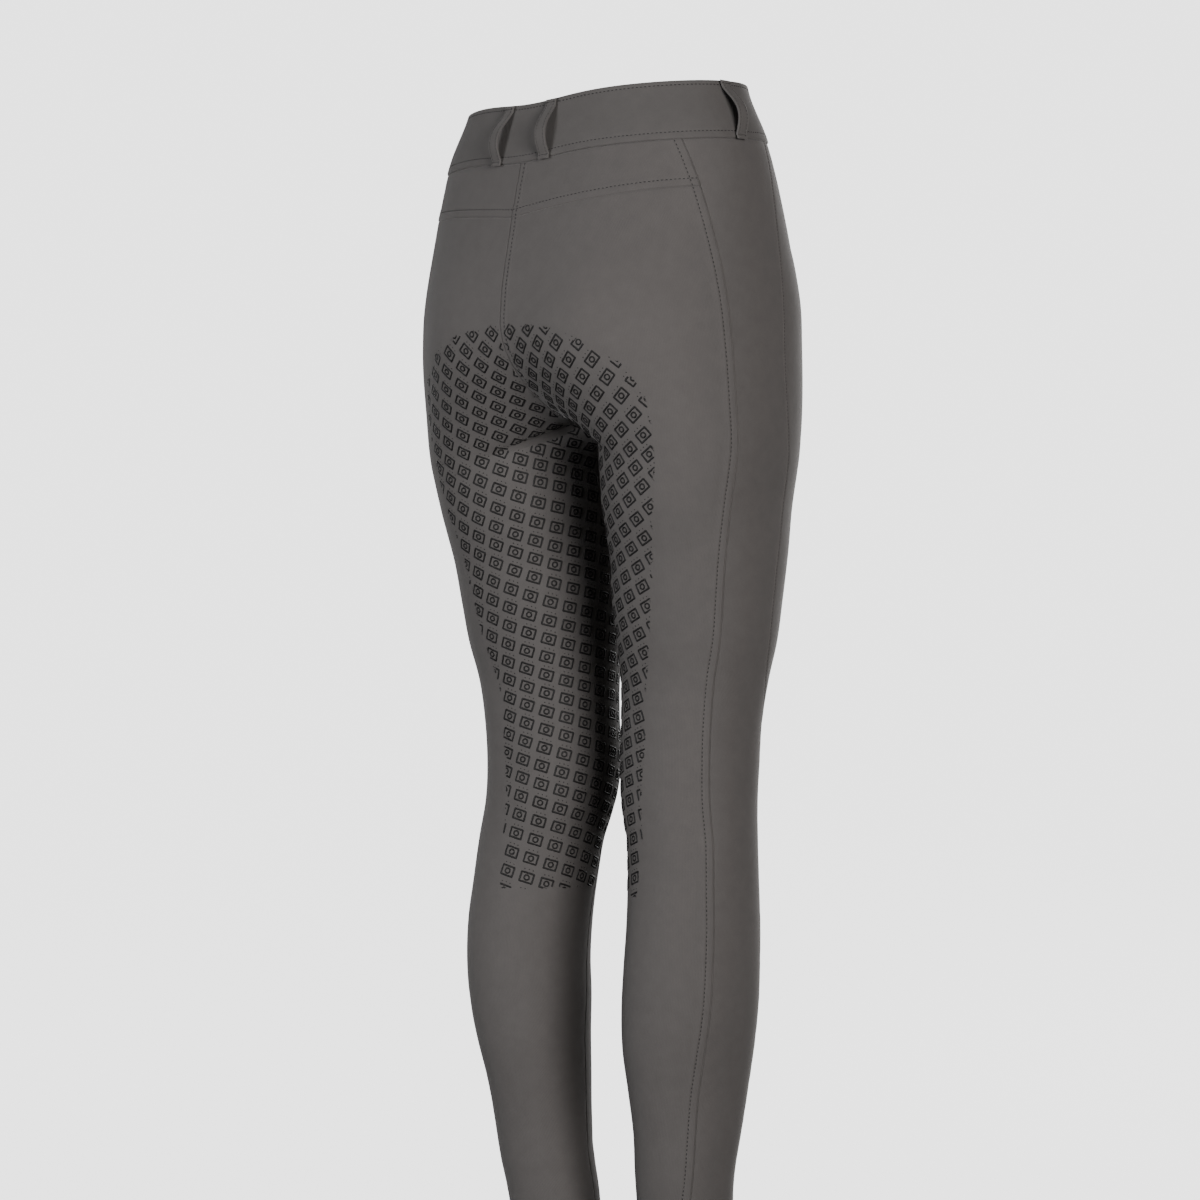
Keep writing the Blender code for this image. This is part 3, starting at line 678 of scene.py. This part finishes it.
def add_panel(kind, side, grid, profiles, crease_table, finish):
    """A cloth panel. profiles give the seam on its outer, inner, top and bottom edges."""
    on_right = side == "right"
    normal = field_normal(grid)
    across, down = run_along(grid), run_down(grid)
    distance = {
        "outer": across, "inner": across[:, -1:] - across, "top": down, "bottom": down[-1:] - down,
    }
    along = {"outer": grid[..., 2], "inner": down, "top": across, "bottom": across}
    relief = slack(grid) + creases(crease_table, across, grid[..., 2])
    relief = relief + seat_fold(grid[..., 0], grid[..., 1], grid[..., 2])
    lining = np.zeros_like(relief)
    for turn, (edge, profile) in enumerate(profiles.items()):
        if profile is middle_topstitch:
            relief = relief + profile(distance[edge], grid[..., 2])
        else:
            relief = relief + profile(distance[edge])
        relief = relief + pucker(along[edge], distance[edge], turn + (2.4 if on_right else 0.3))
        lining = np.maximum(lining, allowance(distance[edge]))
    outer = grid + normal * (CLOTH / 2 + relief)[..., None]
    inner = grid - normal * (CLOTH / 2 + lining)[..., None]
    if kind != "back":  # the allowance at the waist stands up behind the band
        inner[0] += TUCKED_IN * unit(inner[0] - inner[3])
    outer[..., 0] = np.maximum(outer[..., 0], 0.0)
    pattern = np.stack([across, grid[..., 2]], -1)
    if on_right:
        outer, inner, normal = mirrored(outer, inner, normal)
    node = kind + "_" + side
    piece = add_shell(node + "_cloth", node, outer, inner, pattern, finish, "cloth")
    return {"piece": piece, "outer": outer, "normal": normal, "distance": distance}


def line_beside(panel, edge, setback):
    """Points and normals on a panel at a set distance from one of its edges."""
    run, outer, normal = panel["distance"][edge], panel["outer"], panel["normal"]
    if edge in ("top", "bottom"):
        run, outer, normal = run.T, outer.swapaxes(0, 1), normal.swapaxes(0, 1)
    if edge in ("inner", "bottom"):
        run, outer, normal = run[:, ::-1], outer[:, ::-1], normal[:, ::-1]
    setback = np.broadcast_to(setback, len(run))
    return [
        np.array([read_line(at, one, line) for at, one, line in zip(setback, run, source)])
        for source in (outer, normal)
    ]


def fly_line(panel):
    """The row of stitches that holds the fly's facing: down, then curved in to the middle."""
    z = panel["outer"][:, -1, 2]
    turned = np.clip((FLY_TURN_Z - z) / (FLY_TURN_Z - FLY_END_Z), 0, 1)
    path, normal = line_beside(panel, "inner", FLY_WIDTH * np.sqrt(1 - turned ** 2))
    above = z > FLY_END_Z - ROW_STEP
    return path[above], normal[above]


def sew(store, path, normal, stitch=SEAM_STITCH):
    """Adds a row of stitches along a path on the cloth: short half-round threads."""
    pitch, length, radius = stitch
    run = run_of(path)
    count = max(int(run[-1] / pitch), 1)
    at = (np.arange(count) + 0.5) * run[-1] / count
    out = read_line(at, run, normal)
    before, after = (read_line(at + part * length, run, path) for part in (-0.4, 0.4))
    beside = np.cross(unit(after - before), out)
    rings = []
    for place, size, sink in STITCH_RINGS:
        centre = read_line(at + place * length, run, path)
        for turn in (0, 60, 120, 180):
            cos, sin = math.cos(math.radians(turn)), math.sin(math.radians(turn))
            lift = radius * (size * sin - sink) + 0.04
            rings.append(centre + beside * cos * radius * size + out * lift)
    points = np.stack(rings, 1)
    first = (np.arange(count) * 16)[:, None, None]
    corner = np.array([
        (4 * i + j, 4 * i + j + 1, 4 * i + j + 5, 4 * i + j + 4) for i in range(3) for j in range(3)
    ])
    base = sum(len(p) for p, _ in store)
    store.append((points.reshape(-1, 3), (first + corner[None]).reshape(-1, 4) + base))


def joined(store):
    return np.concatenate([p for p, _ in store]), np.concatenate([f for _, f in store])


def motif_outline():
    """The grip print's motif, flat: a square frame with a ring inside, as closed loops.

    Each loop is a pair of lines of points, the outer and the inner edge of its stroke.
    """
    half = np.array([MOTIF_WIDTH, MOTIF_HEIGHT]) / 2

    def frame_line(inset):
        corner = max(MOTIF_CORNER - inset, SHARPEST_CORNER)
        line = []
        for sx, sy, start in ((1, 1, 0), (-1, 1, 90), (-1, -1, 180), (1, -1, 270)):
            centre = (half - inset - corner) * np.array([sx, sy])
            for turn in (0, 45, 90):
                angle = math.radians(start + turn)
                line.append(centre + corner * np.array([math.cos(angle), math.sin(angle)]))
        line = np.array(line)
        after = np.roll(line, -1, axis=0)
        whole = []
        for i, (a, b) in enumerate(zip(line, after)):
            whole.append(a)
            if i % 3 == 2:
                whole += [a + (b - a) / 3, a + (b - a) * 2 / 3]
        return np.array(whole)

    ring = circle(12)
    return [
        (frame_line(0.0), frame_line(MOTIF_STROKE)),
        (ring * RING_RADIUS, ring * (RING_RADIUS - RING_STROKE)),
    ]


def ring_faces(rings, count, base=0):
    """Faces that join rings of points, each to the next. base is the number of the first point."""
    faces = []
    for i in range(rings - 1):
        for j in range(count):
            a, b = base + i * count + j, base + i * count + (j + 1) % count
            faces.append((a, b, b + count, a + count))
    return faces


def motif_mesh():
    """Points of one motif as (across, up, height), and its faces."""
    points, faces = [], []
    for outer, inner in motif_outline():
        count = len(outer)
        slope = (inner - outer) * PRINT_BEVEL
        faces += ring_faces(4, count, sum(len(p) for p in points))
        for line, height in ((outer, 0), (outer + slope, 1), (inner - slope, 1), (inner, 0)):
            points.append(np.column_stack([line, np.full(count, height * PRINT_HEIGHT)]))
    for place in (-1, 0, 1):
        base = sum(len(p) for p in points)
        up = MOTIF_HEIGHT / 2 + DOT_ABOVE + DOT_ARCH * (place == 0)
        centre = np.array([place * DOT_SPREAD, up])
        for share, height in ((1, 0), (0.6, 0.5)):
            line = circle(6) * DOT_RADIUS * share + centre
            points.append(np.column_stack([line, np.full(6, height * PRINT_HEIGHT)]))
        faces += ring_faces(2, 6, base)
        for k in (1, 3):
            faces.append((base + 6, base + 6 + k, base + 7 + k, base + 8 + k))
    return np.concatenate(points), np.array(faces)


def seam_distance_table():
    """Distance along the cloth from the side back seam, by level and turn around the leg."""
    levels = np.linspace(-160, -720, 113)
    seam = side_point(SIDE_BACK_SEAM, levels)
    start = angle_of(seam)
    share = np.linspace(0, 1, 121)[None, :]
    angle = start[:, None] * (1 - share) + math.radians(205) * share
    grid = surface(angle, np.broadcast_to(levels[:, None], angle.shape))
    return levels, angle, run_along(grid)


def read_rows(levels, z, given, wanted, values):
    """Reads wanted where given has these values, in the rows of a table around level z."""
    row = np.clip((z - levels[0]) / (levels[1] - levels[0]), 0, len(levels) - 1.001)
    found = []
    for i, part, value in zip(row.astype(int), row % 1, values):
        one, two = (np.interp(value, given[k], wanted[k]) for k in (i, i + 1))
        found.append(one * (1 - part) + two * part)
    return np.array(found)


def from_side_seam(points, table):
    levels, angle, run = table
    return read_rows(levels, points[:, 2], angle, run, np.mod(angle_of(points), 2 * math.pi))


def onto_form(points):
    """Points near the form moved onto it."""
    for _ in range(3):
        normal = field_normal(points)
        slope = field(points + normal * 0.5) - field(points - normal * 0.5)
        points = points - normal * (field(points) / slope)[..., None]
    return points


def tangents(points):
    """Unit vectors down the cloth and inward across it, on the left half's back."""
    normal = field_normal(points)
    down = unit(np.array([0.0, 0.0, -1.0]) + normal * normal[..., 2:3])
    return normal, down, np.cross(normal, down)


def row_fall(points, table):
    """How steeply a row of motifs falls on its way inwards, in radians."""
    at, fall, ease = read_table(PRINT_ROWS, points[:, 2])
    fall = fall - ease * (from_side_seam(points, table) - at) / 10
    return np.radians(np.clip(fall, 11, 54))


def along_row(points, table, distance, parts=4):
    """Points moved inwards along their rows of motifs, on the form."""
    for _ in range(parts):
        _, down, inward = tangents(points)
        turn = row_fall(points, table)[:, None]
        points = points + (inward * np.cos(turn) + down * np.sin(turn)) * distance / parts
        points = onto_form(points)
    return points


def print_places(table):
    """The centres of the motifs on the left half."""
    levels, angle, run = table
    z = np.arange(-178.0, -716.0, -2.0)
    from_seam = np.interp(z, *np.array(PRINT_COLUMN, float)[::-1].T)
    line = surface(read_rows(levels, z, run, angle, from_seam), z)
    length = run_of(line)
    start = np.interp(-MOTIF_ROW_Z, -z, length) % MOTIF_PITCH_DOWN
    column = read_line(np.arange(start, length[-1], MOTIF_PITCH_DOWN), length, line)
    found = [column]
    for direction, count in ((1, 13), (-1, 5)):
        points = column
        for _ in range(count):
            points = along_row(points, table, direction * MOTIF_PITCH_ACROSS)
            points = points[(points[:, 0] > -6) & (points[:, 1] > -110)]
            found.append(points)
    found = np.concatenate(found)
    return found[(found[:, 2] > -632) & (found[:, 2] < -176)]


def print_mesh(panel, table):
    """The raised print on the left back panel, cut off where the print ends."""
    quads, _ = shell_faces(*panel["outer"].shape[:2])
    cloth = BVHTree.FromPolygons(panel["outer"].reshape(-1, 3).tolist(), quads.tolist())
    centres = print_places(table)
    normal, down, inward = tangents(centres)
    turn = row_fall(centres, table)[:, None] * MOTIF_TURN
    right = inward * np.cos(turn) + down * np.sin(turn)
    up = inward * np.sin(turn) - down * np.cos(turn)
    shape, faces = motif_mesh()
    flat = centres[:, None] + right[:, None] * shape[:, 0:1] + up[:, None] * shape[:, 1:2]
    points, far = np.empty_like(flat), np.empty(flat.shape[:2])
    for i, group in enumerate(flat):
        for j, point in enumerate(group):
            place, facing, _, _ = cloth.find_nearest(Vector(point))
            place, facing = np.array(place), np.array(facing)
            facing *= np.sign(facing @ normal[i]) or 1.0
            points[i, j] = place + facing * (shape[j, 2] + 0.02)
            gap = place - point
            far[i, j] = np.linalg.norm(gap - normal[i] * (gap @ normal[i]))
    count = shape.shape[0]
    all_faces = (faces[None] + (np.arange(len(centres)) * count)[:, None, None]).reshape(-1, 4)
    points, flat = points.reshape(-1, 3), flat.reshape(-1, 3)
    start = np.interp(flat[:, 2], *np.array(PRINT_EDGE, float)[::-1].T)
    inside = (flat[:, 2] > PRINT_EDGE[-1][0]) & (flat[:, 2] < PRINT_EDGE[0][0])
    inside &= from_side_seam(flat, table) > start
    inside &= (far.reshape(-1) < PRINT_OFF_CLOTH) & (points[:, 0] > 0.5)
    all_faces = all_faces[inside[all_faces].all(axis=1)]
    used, renamed = np.unique(all_faces, return_inverse=True)
    return points[used], renamed.reshape(-1, 4)


def rounded(distance, radius):
    """Half thickness, as a share, of a strip whose edges are folded round."""
    return np.sqrt(1 - (1 - np.clip(distance / radius, 0, 1)) ** 2)


def add_waistband(finish):
    """One doubled strip around the waist, its right end lapped over its left in front."""
    start, end = front_angle(-BAND_UNDERLAP), front_angle(BAND_OVERLAP) + 2 * math.pi
    near = np.radians(np.array([0, 0.1, 0.25, 0.5, 0.9, 1.6]))
    angle = np.concatenate([start + near, np.linspace(start, end, 290)[2:-2], end - near[::-1]])
    share = run_shares(BAND_HEIGHT, NEAR_BAND_EDGE, NEAR_BAND_EDGE, 2.6)
    grid = waist_column(angle, share)
    normal = field_normal(grid)
    around, from_bottom = run_along(grid), run_down(grid)
    from_top = from_bottom[-1:] - from_bottom
    from_end = np.minimum(around, around[:, -1:] - around)
    nearest = np.minimum(np.minimum(from_bottom, from_top), from_end)
    fold = rounded(nearest, BAND_FOLD)
    rows = bell(from_top - BAND_ROW_TOP, ROW_CHANNEL_WIDTH)
    rows = rows + bell(from_bottom - BAND_ROW_BOTTOM, ROW_CHANNEL_WIDTH)
    swell = 0.12 * np.sin(around / 19 + 0.4) * np.sin(from_bottom / BAND_HEIGHT * math.pi)
    relief = swell - 0.30 * rows + pucker(around, from_top, 0.8) + pucker(around, from_bottom, 2.9)
    meet, ramp = front_angle(-BAND_UNDERLAP - LAP_START) + 2 * math.pi, math.radians(LAP_RAMP)
    lift = smooth_step((angle - meet + ramp) / ramp) * BAND_LIFT
    middle = BAND_OUTER - BAND_THICKNESS / 2 + lift[None, :]
    outer = grid + normal * (middle + (BAND_THICKNESS / 2 + relief) * fold)[..., None]
    inner = grid + normal * (middle - BAND_THICKNESS / 2 * fold)[..., None]
    pattern = np.stack([around, from_bottom], -1)
    piece = add_shell(
        "waistband_cloth", "waistband", outer, inner, pattern, finish, "waistband_cloth"
    )
    distance = {"bottom": from_top, "top": from_bottom}
    return {"piece": piece, "outer": outer, "normal": normal, "distance": distance}


def loop_path(centre_angle):
    """A belt loop's path down the band: sewn, arched, sewn."""
    column = waist_column(np.array([centre_angle]), np.linspace(0, 1, 13))[:, 0]
    top, bottom = column[-1], column[0]
    height = np.linalg.norm(top - bottom) + LOOP_PAST_SEAM - LOOP_BELOW_TOP
    normal = field_normal((top + bottom) / 2)
    along = unit(bottom - top)
    normal = unit(normal - along * (normal @ along))
    bow = np.max((column - top) @ normal)
    start = top + along * LOOP_BELOW_TOP + normal * (BAND_OUTER + max(bow, 0.0))
    down = np.linspace(0, height, 64)
    arch = np.clip((down - LOOP_SEWN * 0.85) / (height - 1.5 * LOOP_SEWN), 0, 1) ** LOOP_SAG
    out = LOOP_CLEARANCE + LOOP_THICKNESS / 2
    out = out + (LOOP_BULGE - LOOP_THICKNESS) * np.sin(math.pi * arch) ** 0.9
    return start + along * down[:, None] + normal * out[:, None], np.cross(along, normal), normal


def add_belt_loop(place, side, centre_angle, finish, threads):
    """An arched strip of folded cloth, sewn down near both ends and stitched along its edges."""
    path, across, outward = loop_path(centre_angle)
    normal = unit(np.cross(np.gradient(path, axis=0), across))
    normal *= np.sign(normal @ outward)[:, None]
    near = np.array([0, 0.12, 0.35, 0.7, 1.1, 1.5, LOOP_ROW, 1.9, 2.4, 3.4])
    offset = np.concatenate([near, [LOOP_WIDTH / 2], LOOP_WIDTH - near[::-1]]) - LOOP_WIDTH / 2
    grid = path[:, None] + across * offset[None, :, None]
    normals = np.repeat(normal[:, None], len(offset), axis=1)
    run = run_down(grid)
    from_side = np.broadcast_to(LOOP_WIDTH / 2 - np.abs(offset), run.shape)
    from_end = np.minimum(run, run[-1:] - run)
    half = LOOP_THICKNESS / 2 * rounded(np.minimum(from_side, from_end), 1.0)
    rows = 0.2 * (bell(from_side - LOOP_ROW, 0.4) + bell(from_end - LOOP_TACK, 0.9))
    outer = grid + normals * (half - rows * rounded(from_side, 1.0))[..., None]
    inner = grid - normals * half[..., None]
    pattern = np.stack([np.broadcast_to(offset, run.shape), run], -1)
    if side == "right":
        outer, inner, normals = mirrored(outer, inner, normals)
    node = "loop_" + place + "_" + side
    piece = add_shell(node + "_cloth", node, outer, inner, pattern, finish, "waistband_cloth")
    for column in (6, -7):
        sew(threads, outer[2:-2, column], normals[2:-2, column], LOOP_STITCH)
    for row in (4, -5):
        sew(threads, outer[row, 2:-2], normals[row, 2:-2], TACK_STITCH)
    return piece


def lathe(profile, segments):
    """Points and faces of a turned form: profile is (radius, height), from the middle out."""
    points = [
        np.column_stack([circle(segments) * radius, np.full(segments, height)])
        for radius, height in profile
    ]
    return np.concatenate(points), ring_faces(len(profile), segments)


def add_button(finish, thread_finish):
    """A dished button with its threads and buttonhole, on the lapped end of the band."""
    column = waist_column(np.array([front_angle(0.0)]), (0, 0.5, 1))[:, 0]
    normal = field_normal(column[1])
    right = np.array([1.0, 0.0, 0.0])
    up = np.cross(normal, right)
    foot = column[1] + normal * (BAND_OUTER + BAND_LIFT + BUTTON_GAP)
    top, rim = BUTTON_THICKNESS, BUTTON_RADIUS
    profile = (
        (0.05, 1.45), (2.6, 1.45), (4.4, 1.5), (4.9, 1.62), (5.3, 2.1), (5.9, top), (6.6, top),
        (7.1, 2.2), (rim, 1.6), (rim, 0.9), (7.2, 0.35), (6.4, 0.0), (0.05, 0.0),
    )
    shape, faces = lathe(profile, 72)
    points = foot + shape[:, 0:1] * right + shape[:, 1:2] * up + shape[:, 2:3] * normal
    button = add_piece("waist_button_disc", points, faces, finish, "button", sharp=40)
    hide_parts("waist_button")
    threads = []
    for x in (-BUTTON_HOLES, BUTTON_HOLES):
        for shift in (-BUTTON_THREADS, 0.0, BUTTON_THREADS):
            path = np.array([
                foot + right * (x + shift) + up * y + normal * (1.5 + 0.32 * (abs(y) < 1.3))
                for y in (-1.75, -1.2, 0.0, 1.2, 1.75)
            ])
            sew(threads, path, np.repeat(normal[None], 5, axis=0), BUTTON_STITCH)
    hole = np.linspace(0, 2 * math.pi, 61)[:, None]
    oval = foot + np.cos(hole) * right * BUTTONHOLE_LENGTH / 2
    oval = oval + np.sin(hole) * up * BUTTONHOLE_WIDTH / 2 - normal * 0.33
    sew(threads, oval, np.repeat(normal[None], 61, axis=0), BUTTONHOLE_STITCH)
    points, faces = joined(threads)
    add_piece("button_threads", points, faces, thread_finish, "thread")


def node_of(tree, kind, **values):
    made = tree.nodes.new(kind)
    for key, value in values.items():
        if key in made.inputs:
            made.inputs[key].default_value = value
        else:
            setattr(made, key, value)
    return made


def noise(tree, place, scale, detail, roughness=0.5):
    made = node_of(tree, "ShaderNodeTexNoise", Scale=scale, Detail=detail, Roughness=roughness)
    tree.links.new(place, made.inputs["Vector"])
    return made.outputs["Fac"]


def spread(tree, value, low, high, start=0.3, end=0.7):
    """value, which runs from about start to end, spread over low to high."""
    made = tree.nodes.new("ShaderNodeMapRange")
    for name, number in zip(("From Min", "From Max", "To Min", "To Max"), (start, end, low, high)):
        made.inputs[name].default_value = number
    tree.links.new(value, made.inputs["Value"])
    return made.outputs["Result"]


def shaded(tree, colour, amount):
    """A colour made lighter or darker by a value around 1."""
    scale = node_of(tree, "ShaderNodeVectorMath", operation="SCALE")
    scale.inputs[0].default_value = colour
    tree.links.new(amount, scale.inputs["Scale"])
    return scale.outputs["Vector"]


def times(tree, one, two):
    made = node_of(tree, "ShaderNodeMath", operation="MULTIPLY")
    tree.links.new(one, made.inputs[0])
    tree.links.new(two, made.inputs[1])
    return made.outputs["Value"]


def bump(tree, height, strength, distance, under=None):
    made = node_of(tree, "ShaderNodeBump", Strength=strength, Distance=distance)
    tree.links.new(height, made.inputs["Height"])
    if under is not None:
        tree.links.new(under, made.inputs["Normal"])
    return made.outputs["Normal"]


def new_finish(name, **constants):
    finish = bpy.data.materials.new(name)
    finish.use_nodes = True
    shader = finish.node_tree.nodes["Principled BSDF"]
    for key, value in constants.items():
        shader.inputs[key.replace("_", " ")].default_value = value
    return finish, finish.node_tree, shader


def cloth_finish(name, colour, rib_pitch, sheen):
    """Smooth stretch knit with a fine upright rib and slight mottling; the rib's valleys get
    painted shade.
    """
    finish, tree, shader = new_finish(
        name, Sheen_Weight=sheen, Sheen_Roughness=0.45, Sheen_Tint=(1.0, 0.97, 0.95, 1.0),
        Specular_IOR_Level=0.35,
    )
    weave = node_of(tree, "ShaderNodeUVMap", uv_map="Weave").outputs["UV"]
    place = tree.nodes.new("ShaderNodeTexCoord").outputs["Object"]
    rib = node_of(
        tree, "ShaderNodeTexWave", bands_direction="X", Scale=math.pi / 10 / (rib_pitch * MM),
        Distortion=0.6, Detail=1.0,
    )
    rib.inputs["Detail Scale"].default_value = 1.6
    tree.links.new(weave, rib.inputs["Vector"])
    knit = noise(tree, place, 2600.0, 2.0)
    mottle = spread(tree, noise(tree, place, 95.0, 4.0, 0.6), 0.955, 1.045)
    broad = spread(tree, noise(tree, place, 8.0, 2.0), 0.965, 1.035)
    grain = spread(tree, knit, 0.93, 1.07)
    # Painted shade: the base colour follows the rib's bump, darker in its valleys and a little
    # lighter on its ridges.
    rib_painted_shade = spread(tree, rib.outputs["Fac"], 0.95, 1.03, 0.0, 1.0)
    tone = times(tree, times(tree, times(tree, mottle, broad), grain), rib_painted_shade)
    tree.links.new(shaded(tree, colour, tone), shader.inputs["Base Color"])
    tree.links.new(spread(tree, mottle, 0.74, 0.88), shader.inputs["Roughness"])
    normal = bump(tree, rib.outputs["Fac"], 0.35, 0.00012)
    normal = bump(tree, knit, 0.25, 0.00010, normal)
    tree.links.new(normal, shader.inputs["Normal"])
    return finish


def plain_finish(name, colour, rough_low, rough_high, grain_scale, grain_bump, **constants):
    """An even material with a fine grain in its tone, gloss and surface."""
    finish, tree, shader = new_finish(name, **constants)
    place = tree.nodes.new("ShaderNodeTexCoord").outputs["Object"]
    grain = noise(tree, place, grain_scale, 3.0)
    patches = noise(tree, place, grain_scale / 14, 2.0)
    tone = times(tree, spread(tree, grain, 0.85, 1.15), spread(tree, patches, 0.94, 1.06))
    tree.links.new(shaded(tree, colour, tone), shader.inputs["Base Color"])
    tree.links.new(spread(tree, patches, rough_low, rough_high), shader.inputs["Roughness"])
    tree.links.new(bump(tree, grain, 0.4, grain_bump), shader.inputs["Normal"])
    return finish


def add_backdrop():
    """A plain pale floor that sweeps up all round into a wall."""
    radius, bend, height, floor_z = 4200.0, 1500.0, 5200.0, HEM_Z - 90
    profile = [(1.0, floor_z), (radius - bend, floor_z)]
    for turn in np.radians(np.linspace(5, 90, 18)):
        out, up = bend * math.sin(turn), bend * (1 - math.cos(turn))
        profile.append((radius - bend + out, floor_z + up))
    profile.append((radius, floor_z + height))
    points, faces = lathe(profile, 128)
    mesh = bpy.data.meshes.new("backdrop")
    mesh.from_pydata((points * MM).tolist(), [], faces)
    mesh.shade_smooth()
    finish, tree, shader = new_finish(
        "backdrop_paper", Roughness=0.95, Emission_Color=(0.78, 0.78, 0.78, 1.0),
        Emission_Strength=BACKDROP_GLOW, Specular_IOR_Level=0.1,
    )
    place = tree.nodes.new("ShaderNodeTexCoord").outputs["Object"]
    tone = spread(tree, noise(tree, place, 3.0, 2.0), 0.99, 1.01)
    tree.links.new(shaded(tree, (0.12, 0.12, 0.12), tone), shader.inputs["Base Color"])
    mesh.materials.append(finish)
    backdrop = placed("backdrop", mesh)
    backdrop.visible_diffuse = backdrop.visible_glossy = backdrop.visible_shadow = False


def add_lights():
    """The studio's lights. Their turn is 0 in front of the garment, 90 at its left, 180 behind."""
    world = bpy.data.worlds.new("studio")
    world.use_nodes = True
    world.node_tree.nodes["Background"].inputs["Color"].default_value = (0.8, 0.8, 0.8, 1.0)
    world.node_tree.nodes["Background"].inputs["Strength"].default_value = STUDIO_HAZE
    bpy.context.scene.world = world
    for name, turn, height, distance, size, power, colour in STUDIO_LIGHTS:
        lamp = bpy.data.lights.new(name, "AREA")
        lamp.shape, lamp.size, lamp.energy, lamp.color = "DISK", size, power, colour
        angle = math.radians(turn)
        place = (distance * math.sin(angle), -distance * math.cos(angle), height)
        placed(name, lamp, place, LIGHTS_AIM)


def add_camera():
    lens = bpy.data.cameras.new("camera")
    lens.sensor_width, lens.lens, lens.clip_end = CAMERA_SENSOR, CAMERA_LENS, 50
    bpy.context.scene.camera = placed("camera", lens, CAMERA_PLACE, CAMERA_AIM)


def main():
    cloth = cloth_finish("stretch_cloth", (0.119, 0.109, 0.105), 1.15, 0.30)
    band_cloth = cloth_finish("waistband_stretch_cloth", (0.116, 0.107, 0.103), 1.15, 0.26)
    thread = plain_finish("tonal_thread", (0.022, 0.020, 0.0195), 0.62, 0.78, 5200.0, 0.00008)
    silicone = plain_finish(
        "silicone_print", (0.014, 0.013, 0.0126), 0.50, 0.60, 1600.0, 0.00003,
        Specular_IOR_Level=0.28,
    )
    horn = plain_finish("button_plastic", (0.030, 0.028, 0.027), 0.28, 0.42, 420.0, 0.00003)

    grids = {"back": back_grid(), "yoke": yoke_grid(), "side": side_grid(), "front": front_grid()}
    seams = {"back": (topstitched_edge, turned_hem), "yoke": (topstitched_edge, topstitched_edge)}
    seams.update(side=(plain_edge, turned_hem), front=(fine_edge, turned_hem))
    crease_tables = {"back": BACK_CREASES, "front": FRONT_CREASES, "yoke": (), "side": ()}
    panels = {}
    for kind, grid in grids.items():
        outer, bottom = seams[kind]
        for side in ("left", "right"):
            profiles = {"outer": outer, "inner": plain_edge, "top": plain_edge, "bottom": bottom}
            if side == "right" and kind in ("back", "yoke"):
                profiles["inner"] = middle_topstitch
            panels[kind, side] = add_panel(kind, side, grid, profiles, crease_tables[kind], cloth)

    rows = {}
    for side in ("left", "right"):
        sewn = rows[side] = []
        back, yoke, face, front = (panels[kind, side] for kind in ("back", "yoke", "side", "front"))
        for panel, edge in ((back, "outer"), (yoke, "outer"), (yoke, "bottom")):
            sew(sewn, *line_beside(panel, edge, STITCH_SETBACK))
        sew(sewn, *line_beside(front, "outer", FINE_SETBACK), FINE_STITCH)
        if side == "right":
            for panel in (back, yoke):
                path, normal = line_beside(panel, "inner", MIDDLE_SETBACK)
                above = path[:, 2] > CROTCH_STITCH_END
                sew(sewn, path[above], normal[above])
            sew(sewn, *fly_line(front))
        for panel in (back, face, front):
            for setback in HEM_ROWS:
                sew(sewn, *line_beside(panel, "bottom", setback), HEM_STITCH)

    band = add_waistband(band_cloth)
    band_rows, loop_rows, loops = [], [], []
    for edge, setback in (("bottom", BAND_ROW_TOP), ("top", BAND_ROW_BOTTOM)):
        sew(band_rows, *line_beside(band, edge, setback))
    for side in ("left", "right"):
        for place, turn in (("back", LOOP_BACK_TURN), ("side", LOOP_SIDE_TURN)):
            loops.append(add_belt_loop(place, side, math.radians(turn), band_cloth, loop_rows))
    add_button(horn, thread)

    points, faces = print_mesh(panels["back", "left"], seam_distance_table())
    halves = (("left", points, faces), ("right", mirrored(points)[0], faces[:, ::-1]))
    for side, points, faces in halves:
        add_piece("grip_print_" + side, points, faces, silicone, "grip_print")
    for side in ("left", "right"):
        add_piece("seam_threads_" + side, *joined(rows[side]), thread, "thread")
    band_threads = add_piece("waistband_threads", *joined(band_rows), thread, "thread")
    add_piece("loop_threads", *joined(loop_rows), thread, "thread")
    add_backdrop()
    add_lights()
    add_camera()


main()
